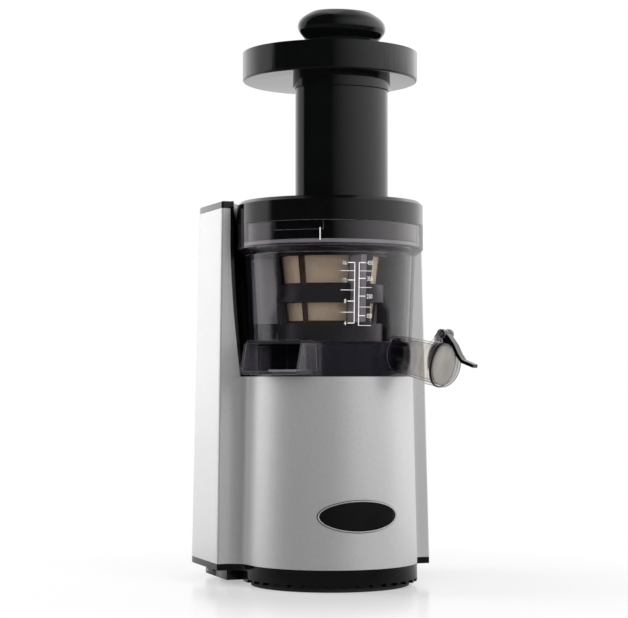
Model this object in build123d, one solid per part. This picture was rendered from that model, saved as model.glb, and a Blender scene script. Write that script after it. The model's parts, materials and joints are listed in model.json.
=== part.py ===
from build123d import *
import os
from math import atan2, cos, degrees, pi, radians, sin, sqrt, tan

# A vertical cold press juicer, in millimetres. The origin is on the axis of the juicing bowl, in the
# plane the feet stand on. +Z is up and -Y is the front.

# --- Fits ---
fit_gap = 0.15          # between fixed parts that slide together
run_gap = 0.3           # between moving parts with curved faces
bearing_gap = 0.05      # a shaft in its bearing, on the radius
seam_gap = 0.3
seat_gap = 0.1

# --- Base ---
foot_height = 3.0
foot_ring_inset = 5.6   # from the drum's edge
foot_ring_width = 12.0
rear_foot_radius = 9.0
rear_foot_inset = 31.2  # from the tower's side
rear_foot_y = 74.0
pan_height = 12.3
pan_rim_height = 4.5
pan_recess = 10.0       # how far the pan's lower part stands inside the tower's outline
pan_wall = 2.5
pan_notch_count = 18
pan_notch_width = 7.0
pan_notch_height = 2.2
screw_grip = 6.0        # the pan's thickness under a screw's head
base_vent_count = 4
base_vent_spread = 26.0
base_vent_width = 22.0

# --- Drum and tower, the silver housing ---
shell_wall = 2.5
drum_height = 128.7
drum_overhang = 0.8     # how far the drum's top stands proud of the bowl's foot
drum_flare = 2.8        # how much wider the drum is at its foot
tower_rise = 12.2       # the underside of the cap above the bowl's rim
tower_cheek = 5.1       # the tower's side beyond the liner
tower_flare = 4.2       # how much further the tower's side stands out at its foot
flange_y_bottom = 9.0
flange_y_top = 13.3
back_y_bottom = 102.0
back_y_top = 98.0
rear_corner_radius = 34.0
front_corner_radius = 1.5
blend_radius = 12.0     # where the drum runs into the flange
cap_thickness = 5.0
vent_rows = 9
vent_pitch = 7.0
vent_slot_height = 3.0
vent_slot_width = 44.0
vent_bottom = 34.0      # height of the lowest slot
boss_radius = 4.6
boss_height = 26.0
front_screw_inset = 7.0
rear_screw_inset = 6.8
rear_screw_y = 46.0

# --- Cradle behind the bowl ---
liner_wall = 2.3
liner_gap = 2.6         # round the bowl's collar
liner_waist = 2.4       # how much narrower the liner is half way down
liner_foot_gap = 3.5    # round the bowl's foot
liner_straight_height = 29.0   # the part of the liner behind the bowl's collar
deck_thickness = 3.5
deck_boss_radius = 15.0
deck_boss_height = 5.0

# --- Juicing bowl ---
bowl_wall = 2.2
bowl_radius_top = 59.8
bowl_taper = 2.8        # how much narrower the bowl's foot is
skirt_height = 20.8     # from the bowl's foot to the underside of its floor
floor_thickness = 3.0
bowl_depth = 63.0       # from the floor to the collar
collar_height = 18.0
collar_step = 5.2       # the collar beyond the bowl's wall
collar_wall = 2.4
collar_floor = 3.0
collar_chamfer = 1.5
hub_radius = 9.8
idler_pin_radius = 2.2

# --- Pulp duct, measured along its own direction ---
pulp_angle = 215.0      # from +X, anticlockwise
pulp_reach = 68.5
pulp_width = 49.0
pulp_height = 23.1
pulp_wall = 2.0
pulp_corner = 4.0
pulp_start = 18.0
pulp_slant = 3.0        # the lip's lead at the bottom, and its lag at the top
pulp_port_length = 10.0
pulp_port_width = 22.0
plug_length = 20.0
plug_width = 24.0
plug_start = 32.0

# --- Juice spout, measured along its own direction ---
spout_angle = -54.0
spout_slope = 12.0
spout_reach = 90.0
spout_tip_drop = 15.5   # the tip's axis below the bowl's floor
spout_radius_root = 12.0
spout_radius_tip = 14.0
spout_wall = 1.6
spout_length = 50.0
tap_collar_length = 7.0
tap_collar_wall = 1.4
lid_turn_angle = 20.0
lug_angle = 9.0
lug_start = 100.0
lug_count = 3
lug_reach = 1.2
lug_height = 6.0
hinge_rise = 20.5       # the tap's hinge above the spout's axis
hinge_set_back = 1.0
hinge_pin_radius = 1.5
hinge_knuckle_radius = 2.9
hinge_knuckle_width = 6.0
hinge_ear_width = 2.6
tap_cap_radius = 15.2
tap_cap_depth = 2.8
tap_dome_height = 8.5
tap_wall = 1.6
tap_seal_thickness = 2.0
lever_reach = 26.0

# --- Strainer, brush and auger ---
strainer_radius_bottom = 29.9
strainer_radius_top = 36.1
strainer_drop = 2.0            # the underside of the strainer's rim below the bowl's collar
strainer_wall = 1.6
strainer_base_height = 7.4     # underside of the strainer's bottom plate, above the bowl's floor
strainer_plate = 2.6
strainer_rim_height = 6.0
strainer_rim_reach = 2.5       # the rim beyond the strainer's top
window_edges = (14.6, 26.8, 40.4)             # of both rows, above the bowl's floor
window_top_drop = 0.8                         # the upper row's top below the strainer's rim
window_count = 6
window_rib_angle = 7.0
window_start = -144.0          # the direction of one rib's middle
mesh_thickness = 0.6
strainer_foot_inner = 18.0
strainer_foot_outer = 27.5
brush_base_height = 12.7
brush_mid_low = 27.5
brush_mid_high = 39.7
brush_gap = 1.3                # between the strainer and the brush's rings
brush_ring_wall = 2.6
brush_top_drop = 0.5           # the brush's upper ring below the strainer's rim
brush_top_width = 1.6
brush_bar_count = 3
brush_bar_angle = 22.0
brush_bar_start = -73.0        # the direction of the front bar's middle
wiper_angle = 4.0
auger_radius_bottom = 24.5
auger_radius_top = 13.0
auger_rise = 7.0               # its shoulder above the underside of the strainer's rim
auger_neck_radius = 16.3
auger_pin_radius = 4.0
auger_pin_length = 15.0
flight_thickness = 3.2
flight_pitch = 34.0
flight_gap = 0.9
socket_radius = 9.0
socket_length = 21.0

# --- Gears: module, teeth, face width ---
brush_module = 1.25
auger_teeth = 24
idler_teeth = 14
brush_gear_width = 5.6
final_module = 1.25
final_teeth = 56
final_pinion_teeth = 14
final_width = 10.0
first_module = 1.0
first_teeth = 60
motor_pinion_teeth = 12
first_width = 6.0
tooth_backlash = 0.24
addendum = 0.8          # tooth heights above and below the pitch line, in modules
dedendum = 1.2

# --- Drive ---
shaft_radius = 7.0
shaft_journal_radius = 6.0
hex_across_flats = 10.0
hex_length = 19.0
motor_y = 50.0
motor_radius = 38.0
stator_bore_radius = 24.0
rotor_radius = 23.5
stack_height = 40.0
coil_height = 4.5
coil_outer = 33.5
coil_inner = 25.0
motor_shaft_radius = 4.0
motor_tip_radius = 3.0
motor_bearing_outer = 9.0
motor_bearing_height = 5.0
bracket_rim = 3.5
bracket_depth = 10.0
bracket_thickness = 4.0
fan_radius = 30.0
fan_height = 7.5
fan_blades = 9
case_wall = 2.6
case_floor = 3.0
output_bearing_outer = 16.0
journal_bearing_outer = 12.0
seal_outer_radius = 12.0
mount_post_radius = 6.0
mount_height = 12.0
motor_foot_spread = 22.0
compound_pin_radius = 4.0
compound_hub_radius = 6.5
lug_radius = 5.0
journal_height = 5.0
output_bearing_height = 8.0

# --- Lid, feed chute, tray and pusher ---
lid_height = 16.6
lid_top = 3.5
lid_wall = 2.8
spigot_depth = 12.0
spigot_wall = 2.4
gasket_thickness = 2.4
chute_offset = 24.0
chute_half_length = 33.0
chute_half_width = 22.0
chute_wall = 2.5
chute_height = 85.0     # above the lid, to the tray's floor
throat_radius = 33.5
tray_radius = 61.2
tray_height = 19.8
tray_wall = 2.4
tray_floor = 3.0
tray_neck_length = 8.6
tray_neck_wall = 1.4
knob_height = 28.0      # with its flange
knob_half_length = 31.2
knob_half_width = 21.5
knob_flange = 2.0       # thick, over the top of the plunger
knob_drop = 2.0         # the knob's underside below the tray's rim
pusher_reach = 66.0     # how far the pusher's foot stands below the tray's floor
pusher_gap = 0.5
pusher_wall = 2.5
bush_outer_radius = 6.5
bush_length = 13.0
magnet_inset = 10.5     # from the lid's edge

# --- Rear fittings ---
grip_width = 92.0
grip_height = 30.0
grip_depth = 19.0
grip_wall = 2.2
grip_drop = 39.0        # below the underside of the cap
grip_corner = 8.0
switch_x = 34.0
switch_z = 118.0
switch_width = 22.0
switch_height = 32.0
switch_wall = 2.0
switch_depth = 15.0
rocker_pivot_radius = 1.5
rocker_pivot_depth = 2.0
cord_x = -34.0
cord_z = 30.0
cord_radius = 3.6
gland_radius = 8.0
gland_flange_radius = 11.0
board_width = 48.0
board_height = 90.0
board_x = -30.0
board_z = 150.0
board_thickness = 1.6
board_stand_off = 9.0
capacitor_radius = 11.0
capacitor_height = 45.0
screw_head_radius = 3.4
screw_radius = 1.6

# --- Badge place on the drum: a bare oval plate ---
badge_width = 57.0
badge_height = 22.0
badge_z = 50.7
badge_thickness = 1.0

# --- Heights that follow from the sizes above ---
pan_bottom = foot_height
pan_top = pan_bottom + pan_height
deck_top = pan_top + drum_height
bowl_radius_bottom = bowl_radius_top - bowl_taper
collar_radius = bowl_radius_top + collar_step
drum_radius_top = bowl_radius_bottom + drum_overhang
drum_radius_bottom = drum_radius_top + drum_flare
liner_radius_top = collar_radius + liner_gap
liner_radius_middle = liner_radius_top - liner_waist
liner_radius_bottom = bowl_radius_bottom + liner_foot_gap
tower_half_width_top = liner_radius_top + liner_wall + tower_cheek
tower_half_width_bottom = tower_half_width_top + tower_flare
foot_ring_outer = drum_radius_bottom - foot_ring_inset
foot_ring_inner = foot_ring_outer - foot_ring_width
rear_foot_x = tower_half_width_bottom - rear_foot_inset
strainer_height = bowl_depth - strainer_drop
strainer_rim_radius = strainer_radius_top + strainer_rim_reach
brush_top_high = strainer_height - brush_top_drop
brush_top_low = brush_top_high - brush_top_width
auger_height = strainer_height + auger_rise
magnet_y = collar_radius - magnet_inset
bowl_bottom = deck_top
floor_low = bowl_bottom + skirt_height
floor_top = floor_low + floor_thickness
collar_bottom = floor_top + bowl_depth
rim_top = collar_bottom + collar_height
tower_top = rim_top + tower_rise
tower_height = tower_top - pan_top
grip_z = tower_top - grip_drop
lid_z = rim_top + lid_height
tray_z = lid_z + chute_height
tray_rim = tray_z + tray_height
liner_bend_z = tower_top - liner_straight_height
gear_plane = floor_top + 0.6
strainer_top = floor_top + strainer_height + strainer_rim_height
bush_low = floor_top + auger_height + 9.0
knob_low = tray_rim - knob_drop
plunger_half_length = chute_half_length - chute_wall - pusher_gap
plunger_half_width = chute_half_width - chute_wall - pusher_gap
collar_ledge = collar_bottom + collar_floor
spigot_radius = collar_radius - collar_wall - run_gap
duct_low = bowl_bottom + 1.4
duct_top = duct_low + pulp_height
hinge_point = (-hinge_set_back, 0, hinge_rise)
mount_low = pan_bottom + 5.0
motor_low = mount_low + mount_height
stack_low = motor_low + bracket_thickness + fan_height + coil_height + 4.0
stack_top = stack_low + stack_height
motor_top = stack_top + bracket_depth + bracket_thickness
case_low = motor_top + 3.0
first_low = case_low + case_floor + 2.0
first_top = first_low + first_width
case_split = first_top + 1.0
final_low = first_top + 2.0
final_top = final_low + final_width
case_high = final_top + 3.0 + case_floor
journal_low = case_low - 1.5
output_bearing_low = case_high - 2.0
hex_low = gear_plane - 0.2
hex_top = hex_low + hex_length
motor_feet = [(i * motor_foot_spread, motor_y + j * motor_foot_spread) for i in (1, -1) for j in (1, -1)]
front_screw_radius = drum_radius_bottom - front_screw_inset
front_screws = [(i * front_screw_radius * cos(radians(30)), -front_screw_radius / 2) for i in (1, -1)]
rear_screws = [(i * (tower_half_width_bottom - rear_screw_inset), rear_screw_y) for i in (1, -1)]
gearbox_lugs = [(22.2, -38.5), (-22.2, -38.5), (40.3, 18.8), (-50.4, 65.4)]

BASE = (Align.CENTER, Align.CENTER, Align.MIN)


# --- Small helpers ---
def rod(radius, low, high, x=0, y=0):
    """An upright cylinder between two heights."""
    return Pos(x, y, low) * Cylinder(radius, high - low, align=BASE)


def ring(outer, inner, low, high, x=0, y=0):
    """An upright tube between two heights."""
    return rod(outer, low, high, x, y) - rod(inner, low - 1, high + 1, x, y)


def block(x0, x1, y0, y1, z0, z1):
    """A box between two corners."""
    return Pos((x0 + x1) / 2, (y0 + y1) / 2, (z0 + z1) / 2) * Box(x1 - x0, y1 - y0, z1 - z0)


def turned(points, angle=360.0, start=0.0):
    """A closed outline of (radius, height) points turned about the bowl's axis."""
    face = make_face(Polyline(*[(r, 0, z) for r, z in points], close=True))
    solid = revolve(face, Axis.Z, angle)
    return Rot(0, 0, start) * solid


def upright(sketch, low, high):
    """A sketch drawn on the table plane, raised between two heights."""
    return extrude(Pos(0, 0, low) * sketch, high - low)


def join(shapes):
    """All shapes fused into one."""
    shapes = list(shapes)
    whole = shapes[0]
    for shape in shapes[1:]:
        whole = whole + shape
    return whole


def around(shape, count, start=0.0):
    """Copies of a shape spaced evenly about the bowl's axis."""
    return [Rot(0, 0, start + i * 360 / count) * shape for i in range(count)]


def between(low_value, high_value, low, high, z):
    """A straight run from one value to another over a height."""
    return low_value + (high_value - low_value) * (z - low) / (high - low)


def cone_points(low, high, z0, z1, wall):
    """Outline of a conical wall: its outer radius runs from low to high."""
    return [(low, z0), (high, z1), (high - wall, z1), (low - wall, z0)]


def oval(half_length, half_width):
    """The feed chute's oval, centred on the chute."""
    return Pos(0, -chute_offset) * Ellipse(half_length, half_width)


# --- Gears ---
def involute_radii(module, teeth):
    """Pitch, base, tip and root radius."""
    pitch = module * teeth / 2
    return pitch, pitch * cos(radians(20)), pitch + addendum * module, pitch - dedendum * module


def half_tooth(module, teeth, radius, internal=False):
    """Half the angle of a tooth at a radius, in radians."""
    pitch, base, _, _ = involute_radii(module, teeth)
    base = min(base, radius)
    spread = tan(radians(20)) - radians(20)
    roll = sqrt(max((radius / base) ** 2 - 1, 0))
    here = roll - atan2(roll, 1)
    slack = tooth_backlash / 2 / pitch
    if internal:
        return pi / (2 * teeth) - slack - spread + here
    return pi / (2 * teeth) - slack + spread - here


def gear_sketch(module, teeth):
    """An external gear with straight-sided steps along each involute flank."""
    pitch, base, tip, root = involute_radii(module, teeth)
    flank = sorted({max(root, base), (max(root, base) + pitch) / 2, pitch, (pitch + tip) / 2, tip})
    points = []
    for tooth in range(teeth):
        middle = 2 * pi * tooth / teeth
        foot = half_tooth(module, teeth, flank[0])
        points.append((root, middle - foot))
        points += [(r, middle - half_tooth(module, teeth, r)) for r in flank]
        points += [(r, middle + half_tooth(module, teeth, r)) for r in reversed(flank)]
        points.append((root, middle + foot))
    corners = [(r * cos(a), r * sin(a)) for r, a in points]
    unique = [p for i, p in enumerate(corners) if (Vector(*p) - Vector(*corners[i - 1])).length > 0.01]
    return make_face(Polyline(*unique, close=True))


def internal_gap_sketch(module, teeth):
    """The toothed hole of an internal gear: what is cut out of a plain ring."""
    pitch = module * teeth / 2
    tip, root = pitch - addendum * module, pitch + dedendum * module
    flank = [tip, (tip + pitch) / 2, pitch, (pitch + root) / 2, root]
    points = []
    for tooth in range(teeth):
        middle = 2 * pi * tooth / teeth
        points += [(r, middle - half_tooth(module, teeth, r, True)) for r in reversed(flank)]
        points += [(r, middle + half_tooth(module, teeth, r, True)) for r in flank]
    corners = [(r * cos(a), r * sin(a)) for r, a in points]
    return make_face(Polyline(*corners, close=True))


def external_turn(teeth, turn, mate_teeth, direction):
    """The turn that sets a mate's tooth gap on a gear's tooth, for a mate in a given direction."""
    return direction + 180 - 180 / mate_teeth + (direction - turn) * teeth / mate_teeth


def internal_turn(teeth, turn, ring_teeth, direction):
    """The turn that sets an internal gear's gap on the tooth of the gear inside it."""
    return direction - ((direction - turn) * teeth + 180) / ring_teeth


# --- Places of the gears ---
final_distance = final_module * (final_teeth + final_pinion_teeth) / 2
first_distance = first_module * (first_teeth + motor_pinion_teeth) / 2
compound_y = (final_distance ** 2 - first_distance ** 2 + motor_y ** 2) / (2 * motor_y)
compound_x = -sqrt(final_distance ** 2 - compound_y ** 2)
to_compound = degrees(atan2(compound_y, compound_x))
compound_to_motor = degrees(atan2(motor_y - compound_y, -compound_x))
final_pinion_turn = external_turn(final_teeth, 0, final_pinion_teeth, to_compound)
motor_pinion_turn = external_turn(first_teeth, final_pinion_turn, motor_pinion_teeth, compound_to_motor)
idler_distance = brush_module * (auger_teeth + idler_teeth) / 2
brush_teeth = auger_teeth + 2 * idler_teeth
brush_radius_base = brush_module * (brush_teeth / 2 + dedendum) + brush_ring_wall
idler_turn = external_turn(auger_teeth, 0, idler_teeth, 90)
brush_turn = internal_turn(idler_teeth, idler_turn, brush_teeth, 90)


# --- Housing ---
def drum_radius(z):
    return between(drum_radius_bottom, drum_radius_top, pan_top, deck_top, z)


def back_y(z):
    return between(back_y_bottom, back_y_top, pan_top, tower_top, z)


def tower_outline(z, inset=0.0):
    """The tower's section at a height, moved inwards by the inset."""
    half = between(tower_half_width_bottom, tower_half_width_top, pan_top, tower_top, z) - inset
    front = between(flange_y_bottom, flange_y_top, pan_top, tower_top, z) + inset
    back = back_y(z) - inset
    sketch = Pos(0, (front + back) / 2) * Rectangle(2 * half, back - front)
    sketch = fillet(sketch.vertices().sort_by(Axis.Y)[-2:], rear_corner_radius - inset)
    corner = max(front_corner_radius - inset, 0.4)
    return fillet(sketch.vertices().sort_by(Axis.Y)[:2], corner)


def housing_outline(z, inset=0.0):
    """The section of drum and tower together, with the hollow blends where they meet."""
    radius = drum_radius(z) - inset
    sketch = tower_outline(z, inset) + Circle(radius)
    meet = [v for v in sketch.vertices() if abs(Vector(v.X, v.Y, 0).length - radius) < 0.01]
    return fillet(meet, blend_radius + inset)


def lofted(outline, low, high, inset=0.0):
    """A straight-sided solid between one outline at two heights."""
    ends = [Pos(0, 0, z) * outline(z, inset) for z in (low, high)]
    return loft(ends, ruled=True)


def housing_block(inset, low, high):
    """Drum and tower as one solid."""
    return lofted(housing_outline, low, deck_top, inset) + lofted(tower_outline, deck_top, high, inset)


def flange_plane(offset):
    """The plane of the tower's front flange, moved back by the offset. Its normal points back."""
    lean = flange_y_top - flange_y_bottom
    return Plane(
        origin=(0, flange_y_bottom + offset, pan_top),
        x_dir=(1, 0, 0),
        z_dir=(0, tower_height, -lean),
    )


def rear_place(x, z):
    """A plane on the tower's back: local X runs to the left of the machine, Y up and Z outwards."""
    lean = back_y_bottom - back_y_top
    return Plane(origin=(x, back_y(z), z), x_dir=(-1, 0, 0), z_dir=(0, tower_height, lean))


def cradle_solid(shift):
    """The hollow that the bowl stands in, out to the liner's outer face moved by the shift."""
    radius_low = liner_radius_bottom + liner_wall + shift
    radius_middle = liner_radius_middle + liner_wall + shift
    radius_high = liner_radius_top + liner_wall + shift
    top = tower_top + cap_thickness
    outline = [
        Line((0, 0, deck_top), (radius_low, 0, deck_top)),
        ThreePointArc(
            (radius_low, 0, deck_top),
            (radius_middle, 0, (deck_top + liner_bend_z) / 2),
            (radius_high, 0, liner_bend_z),
        ),
        Polyline((radius_high, 0, liner_bend_z), (radius_high, 0, top), (0, 0, top), (0, 0, deck_top)),
    ]
    return revolve(make_face(Wire(Curve() + outline)), Axis.Z, 360)


def screw_bosses(places):
    """Posts that take the screws from the base."""
    posts = join(rod(boss_radius, pan_top, pan_top + boss_height, x, y) for x, y in places)
    holes = join(rod(screw_radius + bearing_gap, pan_top - 1, pan_top + 20, x, y) for x, y in places)
    return posts, holes


def shell_blank():
    outer = housing_block(0, pan_top, tower_top)
    inner = housing_block(shell_wall, pan_top - 1, tower_top + 1)
    return outer, outer - inner


def drum_cone(low, high, grow):
    """The drum's own cone over a stretch of its height, grown outwards."""
    return turned([(0, low), (drum_radius(low) + grow, low), (drum_radius(high) + grow, high), (0, high)])


def badge(grow=0.0):
    """A bare oval plate, half sunk in a shallow seat on the front of the drum."""
    front = Plane(origin=(0, 0, badge_z), x_dir=(1, 0, 0), z_dir=(0, -1, 0))
    face = Ellipse(badge_width / 2 + grow, badge_height / 2 + grow)
    low, high = badge_z - badge_height, badge_z + badge_height
    skin = drum_cone(low, high, badge_thickness / 2 + grow) - drum_cone(low, high, -badge_thickness / 2)
    return extrude(front * face, drum_radius_bottom + 5) & skin


def front_shell(blank):
    """The drum and the flange beside the bowl, in one moulding."""
    shell = split(blank, bisect_by=flange_plane(shell_wall), keep=Keep.BOTTOM)
    posts, holes = screw_bosses(front_screws)
    return shell - cradle_solid(fit_gap) + posts - holes - badge(seat_gap)


def board_post_places():
    return [(i * (board_width / 2 - 5), j * (board_height / 2 - 5)) for i in (1, -1) for j in (1, -1)]


def board_posts():
    """Four posts from the tower's back wall to the circuit board."""
    post = Rot(180, 0, 0) * Cylinder(2.5, board_stand_off + shell_wall, align=BASE)
    return join(rear_place(board_x, board_z) * Pos(x, z, 0) * post for x, z in board_post_places())


def rear_shell(blank, outer):
    """The sides and back of the tower, with vents, the switch and grip openings and board posts."""
    shell = split(blank, bisect_by=flange_plane(shell_wall + seam_gap), keep=Keep.TOP)
    posts, holes = screw_bosses(rear_screws)
    shell = shell + ((posts + board_posts()) & outer) - holes
    slot = SlotOverall(vent_slot_width, vent_slot_height)
    openings = [rear_place(0, vent_bottom + row * vent_pitch) * slot for row in range(vent_rows)]
    frame = Rectangle(switch_width + 2 * switch_wall, switch_height + 2 * switch_wall)
    openings.append(rear_place(0, grip_z) * RectangleRounded(grip_width, grip_height, grip_corner))
    openings.append(rear_place(switch_x, switch_z) * frame)
    openings.append(rear_place(cord_x, cord_z) * Circle(gland_radius + fit_gap))
    for opening in openings:
        shell = shell - extrude(opening, 2 * shell_wall, both=True)
    return shell


def base_pan():
    """The tray under the housing: a round front, a recessed rear and a rim that carries the shells."""
    rim_low = pan_top - pan_rim_height
    floor = pan_bottom + pan_wall
    drum = rod(drum_radius_bottom, pan_bottom, pan_top)
    rear = upright(tower_outline(pan_top, pan_recess), pan_bottom, pan_top)
    solid = drum + rear + upright(housing_outline(pan_top), rim_low, pan_top)
    hollow = rod(drum_radius_bottom - 2 * pan_wall, floor, pan_top + 1)
    hollow = hollow + upright(tower_outline(pan_top, pan_recess + pan_wall), floor, pan_top + 1)
    hollow = hollow + upright(housing_outline(pan_top, 2 * pan_wall), rim_low + pan_wall / 2, pan_top + 1)
    pan = solid - hollow
    notch = block(
        drum_radius_bottom - 3, drum_radius_bottom + 3, -pan_notch_width / 2, pan_notch_width / 2,
        pan_bottom - 1, pan_bottom + pan_notch_height,
    )
    for i in range(pan_notch_count):
        pan = pan - Rot(0, 0, 180 + 180 * (i + 0.5) / pan_notch_count) * notch
    for x, y in motor_feet:
        pan = pan + rod(mount_post_radius, pan_bottom, mount_low, x, y)
    for x, y in front_screws + rear_screws:
        pan = pan + (rod(screw_head_radius + pan_wall, pan_bottom, pan_top, x, y) & solid)
        pan = pan - rod(screw_radius + bearing_gap, pan_bottom - 1, pan_top + 1, x, y)
        pan = pan - rod(screw_head_radius + fit_gap, pan_bottom - 1, pan_top - screw_grip, x, y)
    for side in (1, -1):
        for i in range(base_vent_count):
            row = motor_y + (i - (base_vent_count - 1) / 2) * vent_pitch
            vent = Pos(side * base_vent_spread, row) * SlotOverall(base_vent_width, vent_slot_height)
            pan = pan - upright(vent, pan_bottom - 1, floor + 1)
    return pan


def base_screws():
    """Pan-head screws, driven up through the base into the shells."""
    screws = []
    for x, y in front_screws + rear_screws:
        head_top = pan_top - screw_grip
        head = rod(screw_head_radius, head_top - 2.2, head_top, x, y)
        head = head - Pos(x, y, head_top - 2.2) * (Box(4.2, 0.9, 1.6) + Box(0.9, 4.2, 1.6))
        screws.append(head + rod(screw_radius, head_top, pan_top + 16, x, y))
    return screws


def cradle_liner():
    """The black wall behind the bowl and the deck that the bowl stands on."""
    wall = cradle_solid(0) - cradle_solid(-liner_wall)
    wall = split(wall, bisect_by=flange_plane(0), keep=Keep.TOP)
    inside = housing_outline(deck_top, shell_wall + fit_gap)
    reach = liner_radius_bottom + liner_wall
    front = Pos(0, flange_y_bottom - 100) * Rectangle(400, 200)
    plate = upright(inside & (Circle(reach) + front), deck_top - deck_thickness, deck_top)
    boss = rod(deck_boss_radius, deck_top, deck_top + deck_boss_height)
    hole = rod(seal_outer_radius, deck_top - deck_thickness - 1, deck_top + deck_boss_height - 1.2)
    lip = rod(seal_outer_radius - 1.5, deck_top, deck_top + deck_boss_height + 1)
    return wall + plate + boss - hole - lip


def tower_cap():
    """The black plate on top of the tower, cut back round the liner."""
    plate = upright(tower_outline(tower_top), tower_top, tower_top + cap_thickness)
    plate = fillet(plate.edges().group_by(Axis.Z)[-1], 1.2)
    rim = tower_outline(tower_top, shell_wall + fit_gap) - tower_outline(tower_top, 2 * shell_wall)
    skirt = upright(rim, tower_top - cap_thickness, tower_top)
    skirt = split(skirt, bisect_by=flange_plane(shell_wall + 2 * fit_gap), keep=Keep.TOP)
    return plate + skirt - rod(liner_radius_top + liner_wall + fit_gap, 0, tower_top + 2 * cap_thickness)


def grip_cup():
    """A finger recess in the back of the tower."""
    def section(change):
        return RectangleRounded(grip_width + 2 * change, grip_height + 2 * change, grip_corner + change)

    body = extrude(section(-fit_gap), -grip_depth - grip_wall)
    flange = extrude(section(3.0), 1.4)
    hollow = extrude(Pos(0, 0, 2) * section(-fit_gap - grip_wall), -grip_depth - 2)
    return rear_place(0, grip_z) * (body + flange - hollow)


def switch_bezel():
    """The rocker's frame, with the cross pin that the rocker turns on."""
    width, height = switch_width + 2 * switch_wall, switch_height + 2 * switch_wall
    body = extrude(Rectangle(width - 2 * fit_gap, height - 2 * fit_gap), -switch_depth - switch_wall)
    flange = extrude(RectangleRounded(width + 5, height + 5, 3.0), 1.4)
    hollow = extrude(Pos(0, 0, 2) * Rectangle(switch_width, switch_height), -switch_depth - 2)
    pin = Pos(0, 0, -rocker_pivot_depth) * Rot(0, 90, 0) * Cylinder(rocker_pivot_radius, switch_width)
    return rear_place(switch_x, switch_z) * (body + flange - hollow + pin)


def rocker():
    """The three-position rocker: its two halves slope up from the middle."""
    half = switch_height / 2 - 2.0
    side = Polyline(
        (0, -half, 0.4), (0, -half, 4.6), (0, 0, 2.4), (0, half, 4.6), (0, half, 0.4),
        (0, 4.6, -7.4), (0, -4.6, -7.4), close=True,
    )
    body = extrude(make_face(side), switch_width / 2 - run_gap, both=True)
    bore = Rot(0, 90, 0) * Cylinder(rocker_pivot_radius + bearing_gap, 2 * switch_width)
    return rear_place(switch_x, switch_z) * (body - Pos(0, 0, -rocker_pivot_depth) * bore)


def cord_gland():
    """The grommet that the mains lead enters by."""
    body = extrude(Circle(gland_radius), -2 * shell_wall)
    outer = extrude(Circle(gland_flange_radius), 2.4)
    outer = fillet(outer.edges().sort_by(Axis.Z)[-1], 1.0)
    inner = Pos(0, 0, -shell_wall - 0.2) * extrude(Circle(gland_flange_radius - 1), -2.0)
    return rear_place(cord_x, cord_z) * (body + outer + inner - extrude(Circle(cord_radius), 30, both=True))


def control_board():
    """The circuit board on its posts, with a relay, a terminal block and a choke."""
    face = -shell_wall - board_stand_off - board_thickness
    board = Pos(0, 0, face) * Box(board_width, board_height, board_thickness, align=BASE)
    relay = Pos(-14, 24, face - 12) * Box(16, 22, 12, align=BASE)
    terminal = Pos(12, -36, face - 9) * Box(24, 9, 9, align=BASE)
    choke = Pos(-14, -10, face - 10) * Cylinder(8, 10, align=BASE)
    return rear_place(board_x, board_z) * (board + relay + terminal + choke)


def run_capacitor():
    """The motor's capacitor, lying against the board."""
    depth = shell_wall + board_stand_off + board_thickness + capacitor_radius
    can = Pos(12, 8, -depth) * Rot(90, 0, 0) * Cylinder(capacitor_radius, capacitor_height)
    return rear_place(board_x, board_z) * can


def interlock_sensor():
    """The reed switch behind the liner that feels the magnet in the lid."""
    low = rim_top - 3
    y = liner_radius_top + liner_wall
    housing = block(-9, 9, y - 2, y + 6, low, low + 10)
    return housing - rod(y + bearing_gap, low - 1, low + 11)


# --- Heights of the drive, from the motor's mounts up to the deck ---


# --- Motor ---
def motor_mounts():
    """Rubber feet between the base and the motor's lower bracket, waisted in the middle."""
    half = mount_height / 2
    return [
        rod(mount_post_radius, mount_low, motor_low, x, y)
        - Pos(x, y, mount_low + half) * Torus(mount_post_radius + 1.5, 3.0)
        for x, y in motor_feet
    ]


def motor_bracket(low, high, plate_low, bearing_low):
    """A cup that holds one end of the stator and a bearing at its centre."""
    cup = ring(motor_radius, motor_radius - bracket_rim, low, high, 0, motor_y)
    plate = rod(motor_radius, plate_low, plate_low + bracket_thickness, 0, motor_y)
    boss = rod(motor_bearing_outer + 2.5, bearing_low, bearing_low + motor_bearing_height, 0, motor_y)
    hole = rod(motor_bearing_outer, bearing_low - 20, bearing_low + 20, 0, motor_y)
    windows = [
        Pos(0, motor_y) * Rot(0, 0, angle) * Pos(22, 0, plate_low + bracket_thickness / 2)
        * Box(14, 9, 2 * bracket_thickness) for angle in range(0, 360, 90)
    ]
    return join([cup, plate, boss]) - hole - join(windows)


def motor_lower_bracket():
    return motor_bracket(motor_low, stack_low, motor_low, motor_low)


def motor_upper_bracket():
    low = motor_top - motor_bearing_height
    bracket = motor_bracket(stack_top, motor_top, motor_top - bracket_thickness, low)
    return bracket + ring(motor_bearing_outer + 3.5, motor_bearing_outer, motor_top, case_low, 0, motor_y)


def motor_stator():
    """The laminated ring and the winding heads at its two ends."""
    stack = ring(motor_radius, stator_bore_radius, stack_low, stack_top, 0, motor_y)
    lower = ring(coil_outer, coil_inner, stack_low - coil_height, stack_low, 0, motor_y)
    upper = ring(coil_outer, coil_inner, stack_top, stack_top + coil_height, 0, motor_y)
    return stack + fillet(lower.edges().group_by(Axis.Z)[0], 1.5) + fillet(
        upper.edges().group_by(Axis.Z)[-1], 1.5
    )


def bearing(outer, inner, low, height, x=0, y=0):
    """A shielded ball bearing, drawn as one ring with grooved faces."""
    body = ring(outer, inner + bearing_gap, low, low + height, x, y)
    middle = (outer + inner) / 2
    groove = ring(middle + 1.2, middle - 1.2, low - 1, low + 0.4, x, y)
    return body - groove - Pos(0, 0, height + 0.6) * groove


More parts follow.
